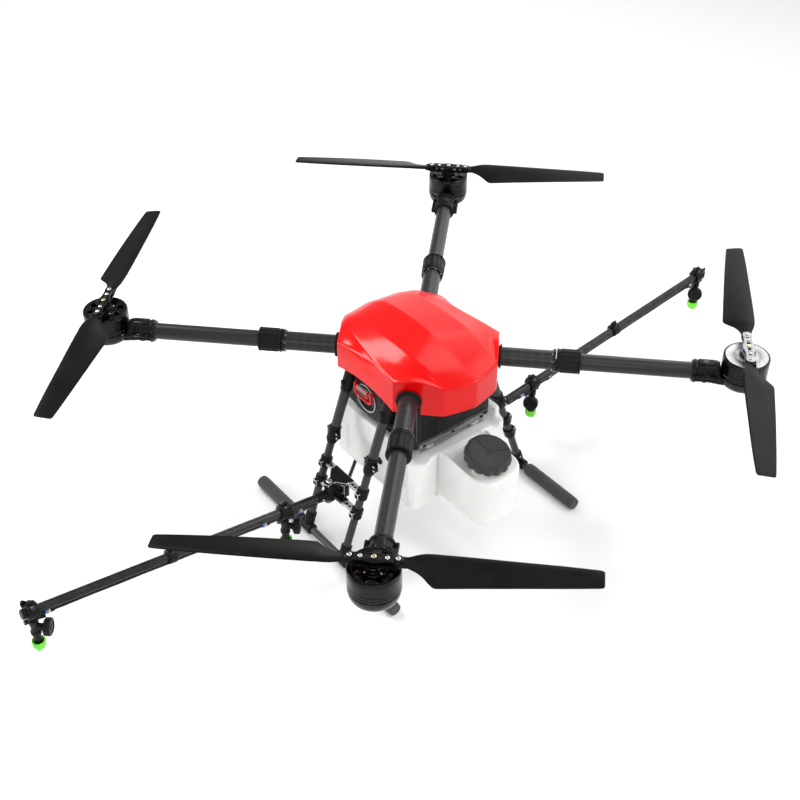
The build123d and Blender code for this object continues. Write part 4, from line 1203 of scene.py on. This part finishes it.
def build_legs():
    tubes = Part()
    sleeves = Part()
    couplers = Part()
    tees = Part()
    skids = Part()
    foams = Part()
    for sx in (-1, 1):
        for sy in (-1, 1):
            def L(z):
                return leg_point(sx, sy, z)

            for low, high, r, bore in ((243, 388, 10.5, 8.6), (24, 242, 8.5, 6.8)):
                a, b = L(low), L(high)
                tubes.sleeve(a, b, tube_profile(r, bore, (b - a).length), CARBON_LEG, 48)
            # Upper socket: tapered collar with a split ear, and its foot under the plate.
            n = (L(392) - L(345)).length
            sleeves.sleeve(L(345), L(392), [(10.55, 0), (12.0, 0), (12.6, 0.8), (12.9, 4),
                (12.9, 6), (12.2, 6.6), (12.2, 10), (12.9, 10.6), (13.0, n), (10.55, n)], BLACK, 48)
            sleeves.box(sx * 120.5 - 15.5, sx * 120.5 + 15.5, sy * LEG_Y - 17, sy * LEG_Y + 17, 393,
                398.4, BLACK, 1.2)
            for dx, dy in ((-11, -12), (11, -12), (-11, 12), (11, 12)):
                sleeves.screw((sx * 120.5 + dx, sy * LEG_Y + dy, 393.1), (0, 0, -1), 2.4, 1.6,
                    STEEL)
            x = sx * leg_x(362)
            sleeves.box(x + sx * 10, x + sx * 16, sy * LEG_Y - 4, sy * LEG_Y + 4, 353, 373, BLACK,
                1.0)
            # Coupler with clamp ears and two screws on each side.
            m = (L(262) - L(224)).length
            couplers.sleeve(L(224), L(262), [(8.55, 0), (10.4, 0), (11.0, 0.6), (11.0, 4),
                (13.2, 6), (13.2, m - 8), (12.6, m - 7.4), (12.6, m - 5), (13.2, m - 4.4),
                (13.2, m - 0.8), (12.4, m), (10.55, m), (10.55, 19.8), (8.55, 19.8)], BLACK, 48)
            ex = sx * leg_x(246)
            for side in (-1, 1):
                couplers.box(ex - 4.6, ex - 0.5, sy * LEG_Y + side * 10, sy * LEG_Y + side * 19,
                    236.5, 255.5, BLACK, 1.0)
                couplers.box(ex + 0.5, ex + 4.6, sy * LEG_Y + side * 10, sy * LEG_Y + side * 19,
                    236.5, 255.5, BLACK, 1.0)
                for z in (240.5, 251.5):
                    couplers.screw((ex + sx * 4.5, sy * LEG_Y + side * 15.5, z), (sx, 0, 0), 2.6,
                        2.4, STEEL)
            # Tee on the skid.
            y0 = sy * LEG_Y
            tees.sleeve((sx * SKID_X, y0 - 18, SKID_Z), (sx * SKID_X, y0 + 18, SKID_Z), [(8.05, 0),
                (11.4, 0), (12.5, 1.0), (12.5, 5), (11.6, 5.6), (11.6, 8), (12.3, 8.6),
                (12.3, 27.4), (11.6, 28), (11.6, 30.4), (12.5, 31), (12.5, 35), (11.4, 36),
                (8.05, 36)], BLACK, 48)
            n2 = (L(50) - L(20)).length
            tees.sleeve(L(20), L(50), [(8.55, 0), (12.2, 0), (12.0, n2 - 7), (11.2, n2 - 6.4),
                (11.2, n2 - 4.4), (12.0, n2 - 4), (12.0, n2 - 0.8), (11.2, n2), (8.55, n2)], BLACK,
                48)
            tees.screw(L(42) + Vector((0, sy * 11.6, 0)), (0, sy, 0), 2.4, 1.6, STEEL)
            # Foam sleeve: pressed a little where it stands, with soft open ends.
            ring = []
            count = 26
            for k in range(count + 1):
                y = sy * (96.4 + 155.2 * k / count)
                edge = min(k, count - k)
                r = 14.9 - (1.6 if edge == 0 else 0.35 if edge == 1 else 0.0)
                r -= 0.22 * (0.5 + 0.5 * math.sin(k * 1.9 + sx + 2 * sy))
                row = []
                for j in range(40):
                    t = 2 * math.pi * j / 40
                    z = SKID_Z + r * math.sin(t)
                    row.append((sx * SKID_X + r * math.cos(t), y, max(z, 0.5)))
                ring.append(row)
            foams.loft(ring, FOAM)
            end = sy * 251.7
            foams.sleeve((sx * SKID_X, end - sy * 2, SKID_Z), (sx * SKID_X, end, SKID_Z), [(8.1, 0),
                (13.3, 0), (13.3, 1.9), (12.6, 2.2), (8.6, 2.2), (8.1, 1.6)], FOAM, 40)
        skids.sleeve((sx * SKID_X, -247, SKID_Z), (sx * SKID_X, 247, SKID_Z),
            tube_profile(8.0, 6.2, 494), CARBON_LEG, 48)
    tubes.done("leg_rods", "airframe", "carbon", "leg_tubes")
    sleeves.done("leg_sockets", "airframe", "black_plastic", "leg_sleeves")
    couplers.done("leg_clamps", "airframe", "black_plastic", "leg_couplers")
    tees.done("skid_joints", "airframe", "black_plastic", "skid_tees")
    skids.done("skid_rods", "airframe", "carbon", "skid_tubes")
    o = foams.done("foam_sleeves", "airframe", "foam_grey", "skid_foams", angle=50.0)


build_legs()

# -------------------------------------------------------------------- booms
PIVOT_X = 236.0
BOOM_Y = 5.0
BOOM_Z = 145.5
RISE = math.radians(7.8)
BOOM_LEN = 694.0
NOZZLES = (117.0, 679.0)       # distances along the boom
HOSE_SIDE, HOSE_DROP = 3.4, 12.3  # where its two hoses run, from the boom's axis
BRACKET_PLATES = (128.0, 174.0)  # undersides


def boom_point(sx, s, side=0.0, drop=0.0):
    x = PIVOT_X + s * math.cos(RISE) + drop * math.sin(RISE)
    z = BOOM_Z + s * math.sin(RISE) - drop * math.cos(RISE)
    return Vector((sx * x, BOOM_Y + side, z))


def boom_frame(sx, s):
    """Matrix at distance s: X along the boom outwards, Z square to it and up."""
    o = boom_point(sx, s)
    x = (boom_point(sx, s + 1) - o).normalized()
    z = (boom_point(sx, s, 0, -1) - o).normalized()
    y = z.cross(x)
    return Matrix(((x.x, y.x, z.x, o.x), (x.y, y.y, z.y, o.y), (x.z, y.z, z.z, o.z), (0, 0, 0, 1)))


def build_bracket(sx, p):
    for z0 in BRACKET_PLATES:
        zc = z0 + 3
        xl = leg_x(zc)
        # Narrow bar from leg to leg, and the tongue that carries the hinge pin.
        x0, x1 = sorted((sx * (xl - 7.5), sx * (xl + 8.5)))
        p.box(x0, x1, BOOM_Y - 66, BOOM_Y + 66, z0 + 0.3, z0 + 5.7, ALU, 0.8)
        outline = [(xl - 8.6, -28), (xl + 10.6, -24), (PIVOT_X - 8, -9 + BOOM_Y)]
        outline += arc(13.8, -50, 50, 8, PIVOT_X, BOOM_Y)
        outline += [(PIVOT_X - 8, 9 + BOOM_Y), (xl + 10.6, 34), (xl - 8.6, 38)]
        pts = [(sx * x, y) for x, y in outline]
        if sx < 0:
            pts = pts[::-1]
        p.prism(pts, z0, z0 + 6, BLACK, 0.8)
        for y in (-44, -34, 44, 54):
            p.lathe((sx * (xl + 2), y, z0 + 5.4), (sx * (xl + 2), y, z0 + 8), [(0, 0), (3.0, 0),
                (3.0, 0.45), (0, 0.45)], RUBBER_AND_SLOT_SHADE, 24)
        for sy in (-1, 1):
            n = (leg_point(sx, sy, zc + 11) - leg_point(sx, sy, zc - 11)).length
            p.sleeve(leg_point(sx, sy, zc - 11), leg_point(sx, sy, zc + 11), [(8.55, 0), (12.4, 0),
                (13.0, 0.8), (13.0, n - 0.8), (12.4, n), (8.55, n)], BLACK, 48)
            c = leg_point(sx, sy, zc)
            p.box(c.x - sx * 2, c.x + sx * 17, c.y - 6, c.y + 6, zc - 7, zc + 7, BLACK, 1.2)
            p.screw((c.x + sx * 17, c.y, zc), (sx, 0, 0), 2.8, 1.8, BELL)
    # Hinge block between the plates, its pin and the stop screws.
    xi = sx * 206
    p.box(xi - 7, xi + 7, BOOM_Y - 22, BOOM_Y + 22, 134, 174, BLACK, 1.6)
    p.box(xi - sx * 14, xi - sx * 6, BOOM_Y - 13, BOOM_Y + 13, 140, 168, BLACK, 1.2)
    for y in (-15, 15):
        for z in (143, 165):
            p.screw((xi + sx * 7, BOOM_Y + y, z), (sx, 0, 0), 2.6, 1.6, STEEL)
    p.rod((sx * PIVOT_X, BOOM_Y, 128.2), (sx * PIVOT_X, BOOM_Y, 180), 3.9, STEEL, 24, 0.3)
    p.screw((sx * PIVOT_X, BOOM_Y, 180), (0, 0, 1), 6.8, 3.6, STEEL)
    # Push-in elbow for the supply hose, seated on the spacer.
    p.lathe((xi, BOOM_Y - 4, 126), (xi, BOOM_Y - 4, 134), [(0, 0), (5.5, 0), (5.5, 2), (4.6, 2.4),
        (4.6, 8), (0, 8)], STEEL, 24)


def fitting(p, sx, s, side):
    """Push-in fitting: dark body, gold ring and blue release collar on a hose."""
    a = boom_point(sx, s, side, HOSE_DROP)
    b = boom_point(sx, s + 12, side, HOSE_DROP)
    p.sleeve(a, b, [(3.1, 0), (4.6, 0), (4.6, 8), (3.1, 8)], GLOSS, 28)
    p.sleeve(a, b, [(3.1, 8), (4.5, 8), (4.9, 8.8), (4.9, 11), (4.5, 11.6), (3.1, 11.6)], ORANGE,
        28)
    p.sleeve(a, b, [(3.1, 11.6), (4.0, 11.6), (4.0, 13), (5.0, 13.4), (5.0, 16.4), (4.6, 17),
        (3.1, 17)], BLUE, 28)


def nozzle(p, cap, sx, s, tip):
    """Clamp ring, body, feed bar, diaphragm valve and coloured spray cap."""
    f = boom_frame(sx, s)
    ring = [(9.05, -12), (14.6, -12), (15.6, -11), (15.6, -4), (16.4, -3.4), (16.4, 3.4), (15.6, 4),
        (15.6, 11), (14.6, 12), (9.05, 12)]
    p.sleeve(boom_point(sx, s), boom_point(sx, s + 1), ring, BLACK, 48)
    # Clamp block with a rounded latch on top.
    p.box(-11, 11, -11, 11, 9, 15.6, BLACK, 2.4, f, 3)
    p.box(-6.8, 6.8, -3.6, 3.6, 14, 24.6, BLACK, 2.6, f, 3)
    p.lathe(f @ Vector((0, -12, 14)), f @ Vector((0, 12, 14)), [(0, 0), (4.2, 0), (4.8, 0.8),
        (4.8, 23.2), (4.2, 24), (0, 24)], GLOSS, 28)
    if tip:
        # Leaf-shaped clamp lever beside the ring.
        leaf = []
        for k in range(20):
            t = 2 * math.pi * k / 20
            leaf.append((15.4 * math.cos(t), 7.2 * math.sin(t) * (1 - 0.25 * math.cos(t))))
        lever = f @ Matrix.Translation((8.5, -11.6, 12)) @ UPRIGHT
        lever = lever @ Matrix.Rotation(math.radians(62), 4, "Z")
        p.prism([(x * 0.78, y) for x, y in leaf], -1.2, 1.2, GLOSS, 0.8, lever)
    else:
        for side in (-1, 1):
            p.box(-8, 8, side * 13.4, side * 16.2, -6, 8, BLACK, 1.2, f)
    top = boom_point(sx, s, 0, 9)
    x, y, z = top
    p.turned(x, y, [(0, z - 76), (7.2, z - 76), (8, z - 75), (8, z - 51), (10.3, z - 50.4),
        (10.3, z - 44), (8.6, z - 43.4), (8, z - 42), (8.4, z - 26), (9.4, z - 24), (9.4, z - 14),
        (7.4, z - 12.4), (0, z - 12.4)], BLACK, 40)
    a = boom_point(sx, s - 26, 0, 23)
    b = boom_point(sx, s + 15.5, 0, 23)
    n = (b - a).length
    p.lathe(a, b, [(0, 0), (4.4, 0), (5.0, 0.6), (5.0, 7), (4.2, 7.8), (4.2, n - 8), (5.0, n - 7.2),
        (5.2, n - 0.8), (4.6, n), (0, n)], GLOSS, 32)
    # Diaphragm valve, turned inboard.
    d = Vector((-sx * 0.75, -0.66, 0)).normalized()
    c0 = Vector((x, y, z - 32))

    def knurl(t, r, zz):
        if r < 16.8 or zz < 22 or zz > 31.6:
            return r
        return r - 0.9 * (0.5 + 0.5 * math.cos(t * 16))

    p.lathe(c0 + d * 2, c0 + d * 3, [(0, 0), (6.8, 0), (6.8, 12), (9.5, 15), (15.6, 17.4),
        (17.6, 19.4), (17.9, 21.4), (17.9, 22.6), (17.9, 24), (17.9, 28.6), (17.4, 29.8),
        (15.4, 30.8), (12.6, 30.8), (11.8, 29.8), (5.4, 29.4), (4.8, 30.6), (0, 30.8)], BLACK, 112,
        shape=knurl)
    for k in range(5):
        t = math.radians(72 * k)
        u = d.orthogonal().normalized()
        w = d.cross(u)
        e = c0 + d * 31.4 + (u * math.cos(t) + w * math.sin(t)) * 14.6
        p.screw(e, d, 1.2, 1.0, STEEL)
    # Spray cap: open cup with ears and a flat fan tip.
    def ears(t, r, zz):
        if r < 12.8:
            return r
        return r - 0.8 * (0.5 + 0.5 * math.cos(t * 12))

    cap.turned(x, y, [(2.0, z - 91.6), (6.0, z - 91.6), (9.6, z - 89.4), (12.6, z - 84.6),
        (13.4, z - 79.6), (13.4, z - 71.4), (12.9, z - 70.4), (11.8, z - 70.2), (11.2, z - 71),
        (10.6, z - 82.6), (8.3, z - 83.4), (2.0, z - 83.6)], GREEN, 96, closed=True, shape=ears)
    fan = f.to_3x3().to_4x4()
    tipm = Matrix.Translation((x + sx * 3.4, y - 5.2, z - 88.2)) @ fan
    cap.prism([(-4.6, 0), (4.6, 0), (2.2, -7.2), (-1.2, -8.4)], -1.6, 1.6, GREEN, 0.7,
        tipm @ UPRIGHT)


def build_boom(sx, name):
    p = Part()
    # Grooved tube: round with three lengthwise channels.
    f0 = boom_frame(sx, 0)
    ring = []
    for k in range(96):
        t = 2 * math.pi * k / 96
        r = 9.0
        for g in (90, 0, 180):
            d = abs((math.degrees(t) - g + 180) % 360 - 180)
            if d < 9.5:
                r -= 1.1 * (1 - (d / 9.5) ** 2) ** 0.5
        ring.append((r * math.cos(t), r * math.sin(t)))
    rows = []
    for s in [6, 36] + [36 + 41.1 * k for k in range(1, 17)]:
        rows.append([f0 @ Vector((min(s, BOOM_LEN), y, z)) for y, z in ring])
    p.loft(rows, HOSE)
    p.lathe(boom_point(sx, BOOM_LEN), boom_point(sx, BOOM_LEN + 5), [(0, 0), (10.4, 0), (10.4, 3.8),
        (9.4, 5), (0, 5)], BLACK, 48)
    p.lathe(boom_point(sx, 6), boom_point(sx, 34), [(0, 0), (12, 0), (12, 6), (11.2, 6.6),
        (11.2, 9), (12, 9.6), (12, 27), (11.2, 28), (9, 28), (0, 28)], BLACK, 48)
    p.sleeve((sx * PIVOT_X, BOOM_Y, 134.9), (sx * PIVOT_X, BOOM_Y, 173.1), [(4.1, 0), (11.2, 0),
        (12, 0.8), (12, 10), (11.3, 10.6), (11.3, 27.6), (12, 28.2), (12, 37.4), (11.2, 38.2),
        (4.1, 38.2)], BLACK, 48)
    p.screw(boom_point(sx, 24, -11.8, 0), (0, -1, 0), 2.6, 1.8, STEEL)
    p.done("boom_tube_" + name, "boom_" + name, "carbon", "boom_" + name)

    n = Part()
    cap = Part()
    for s in NOZZLES:
        nozzle(n, cap, sx, s, s > 400)
    s = 386.0
    n.sleeve(boom_point(sx, s), boom_point(sx, s + 1), [(9.05, -9), (14.2, -9), (15, -8), (15, 8),
        (14.2, 9), (9.05, 9)], BLACK, 48)
    f = boom_frame(sx, s)
    n.box(-6.5, 6.5, -3.4, 3.4, 13, 24.8, BLACK, 2.4, f, 3)
    n.lathe(f @ Vector((0, -8, 14)), f @ Vector((0, 8, 14)), [(0, 0), (3.8, 0), (4.2, 0.6),
        (4.2, 15.4), (3.8, 16), (0, 16)], GLOSS, 24)
    for at in (70.0, 160.0, 640.0):
        for side in (-HOSE_SIDE, HOSE_SIDE):
            if at < 600 or side < 0:
                fitting(n, sx, at + side, side)
    n.done("nozzle_bodies_" + name, "boom_" + name, "black_plastic", "nozzles_" + name)
    cap.done("spray_caps_" + name, "boom_" + name, "nozzle_green", "nozzle_caps_" + name)

    h = Part()
    for side, end in ((-HOSE_SIDE, BOOM_LEN - 4), (HOSE_SIDE, BOOM_LEN - 12)):
        path = []
        count = 34
        for k in range(count + 1):
            s = 36.5 + (end - 36.5) * k / count
            sag = 0.35 * math.sin(k * 1.1)
            path.append(boom_point(sx, s, side, HOSE_DROP + sag))
        h.sweep(path, 2.9, HOSE, 16)
    h.done("feed_hoses_" + name, "boom_" + name, "hose_black", "hose_" + name)


brackets = Part()
for sx, name in ((-1, "left"), (1, "right")):
    build_bracket(sx, brackets)
    build_boom(sx, name)
brackets.done("boom_mounts", "airframe", "aluminium", "boom_brackets")


# ---------------------------------------------------- pump, hoses, screws
def arc_path(points, radius, n=8):
    """Runs joined by arcs of the given radius."""
    pts = [Vector(p) for p in points]
    out = [pts[0]]
    for a, b, c in zip(pts, pts[1:], pts[2:]):
        u = (a - b).normalized()
        w = (c - b).normalized()
        half = u.angle(w) / 2
        d = radius / math.tan(half)
        centre = b + (u + w).normalized() * (radius / math.sin(half))
        p0 = b + u * d - centre
        p1 = b + w * d - centre
        total = p0.angle(p1)
        for k in range(n + 1):
            t = k / n
            out.append(centre + (p0 * math.sin((1 - t) * total) + p1 * math.sin(t * total))
                / math.sin(total))
    out.append(pts[-1])
    return out


pump = Part()
pump.box(-34, 34, 118.2, 164, 300, 352, BLACK, 5.0, Matrix(), 3)
pump.turned(0, 142, [(0, 348), (20, 348), (20, 352), (19, 353), (19, 356), (19.8, 357), (19.8, 382),
    (18.6, 384), (0, 384)], GLOSS, 64)
for k in range(5):
    pump.box(-33, 33, 163.2, 164.0, 307 + 9 * k, 310.5 + 9 * k, BLACK, 0.4)
for sx in (-1, 1):
    for z in (306, 346):
        pump.screw((sx * 27, 163.4, z), (0, 1, 0), 2.6, 0.6, STEEL)
    route = arc_path([(sx * 20, 152, 301), (sx * 20, 152, 128), (sx * 196, 8, 128)], 18)
    pump.sweep(route, 4.0, HOSE, 20)
    pump.sleeve((sx * 20, 152, 300), (sx * 20, 152, 288), [(4.1, 0), (6.4, 0), (6.4, 6), (5.4, 7),
        (5.4, 12), (4.1, 12)], GLOSS, 32)
pump.done("pump_and_hoses", "airframe", "pump_black", "pump")

small = Part()
for x in (-80, -3, 76):
    small.screw((x, -121.6, 284), (0, -1, 0), 3.3, 2.6, BELL)
for sx in (-1, 1):
    for sy in (-1, 1):
        x = sx * (leg_x(177) + 6)
        small.screw((x, BOOM_Y + sy * 32, 179.9), (0, 0, 1), 3.3, 2.8, STEEL)
        small.screw((sx * (leg_x(131) + 6), BOOM_Y + sy * 32, 128.1), (0, 0, -1), 3.3, 2.8, STEEL)
small.done("frame_screws", "airframe", "steel", "screws")

# ---------------------------------------------------------- floor and light
floor_mesh = bpy.data.meshes.new("floor")
fb = bmesh.new()
side = 14.0
grid = [fb.verts.new((x * side, y * side, -0.0008)) for x, y in ((-1, -1), (1, -1), (1, 1),
    (-1, 1))]
fb.faces.new(grid)
fb.to_mesh(floor_mesh)
fb.free()
floor = bpy.data.objects.new("floor", floor_mesh)
scene.collection.objects.link(floor)
ground = Mat("floor_pale", Specular_IOR_Level=0.1)
ground.colour(ground.ramp(ground.noise(0.8, 2.0), [(0.3, (0.955, 0.955, 0.955)), (0.7,
    (0.97, 0.97, 0.97))]))
ground.rough(ground.span(ground.noise(3.0), 0.8, 0.95))
floor_mesh.materials.append(ground.m)
floor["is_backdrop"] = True

world = bpy.data.worlds.new("studio")
scene.world = world
world.use_nodes = True
world.node_tree.nodes["Background"].inputs[0].default_value = (1.0, 1.0, 1.0, 1.0)
world.node_tree.nodes["Background"].inputs[1].default_value = 0.34


def softbox(name, at, aim_at, size, power, shape="SQUARE"):
    d = bpy.data.lights.new(name, "AREA")
    d.energy = power
    d.shape = shape
    d.size = size
    o = bpy.data.objects.new(name, d)
    scene.collection.objects.link(o)
    o.visible_camera = False
    o.location = at
    o.rotation_euler = (Vector(aim_at) - Vector(at)).to_track_quat("-Z", "Y").to_euler()
    return o


# A wide disc square to the X axis is mirrored only in panels that lean to the +X side. It gives
# reflections and no diffuse light, which would wash out the tank and the floor.
softbox("key", (3.6, 0.0, 0.48), (0, 0, 0.48), 11.3, 400.0, "DISK").visible_diffuse = False
softbox("panel_right", (2.6, 1.0, 3.2), (0, 0, 0.45), 2.0, 20.0)
softbox("ridge_upper", (-0.66, 1.86, 2.7), (0, 0, 0.45), 0.9, 34.0)
softbox("ridge_lower", (-2.25, 1.9, 1.1), (0, 0, 0.45), 1.1, 34.0)
softbox("front_edge", (1.7, -1.25, 2.9), (0, 0, 0.45), 0.6, 24.0)
softbox("fill", (-2.4, -2.2, 1.9), (0, 0, 0.3), 2.0, 30.0)
softbox("front_fill", (1.6, -3.2, 1.5), (0, 0, 0.3), 2.0, 30.0)
softbox("top", (-0.3, -1.7, 4.9), (0, -0.1, 0), 3.6, 64.0)
softbox("far_floor", (1.0, 4.4, 3.8), (1.0, 4.2, 0), 4.2, 80.0).visible_glossy = False

scene.view_settings.view_transform = "Standard"

lo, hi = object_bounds()
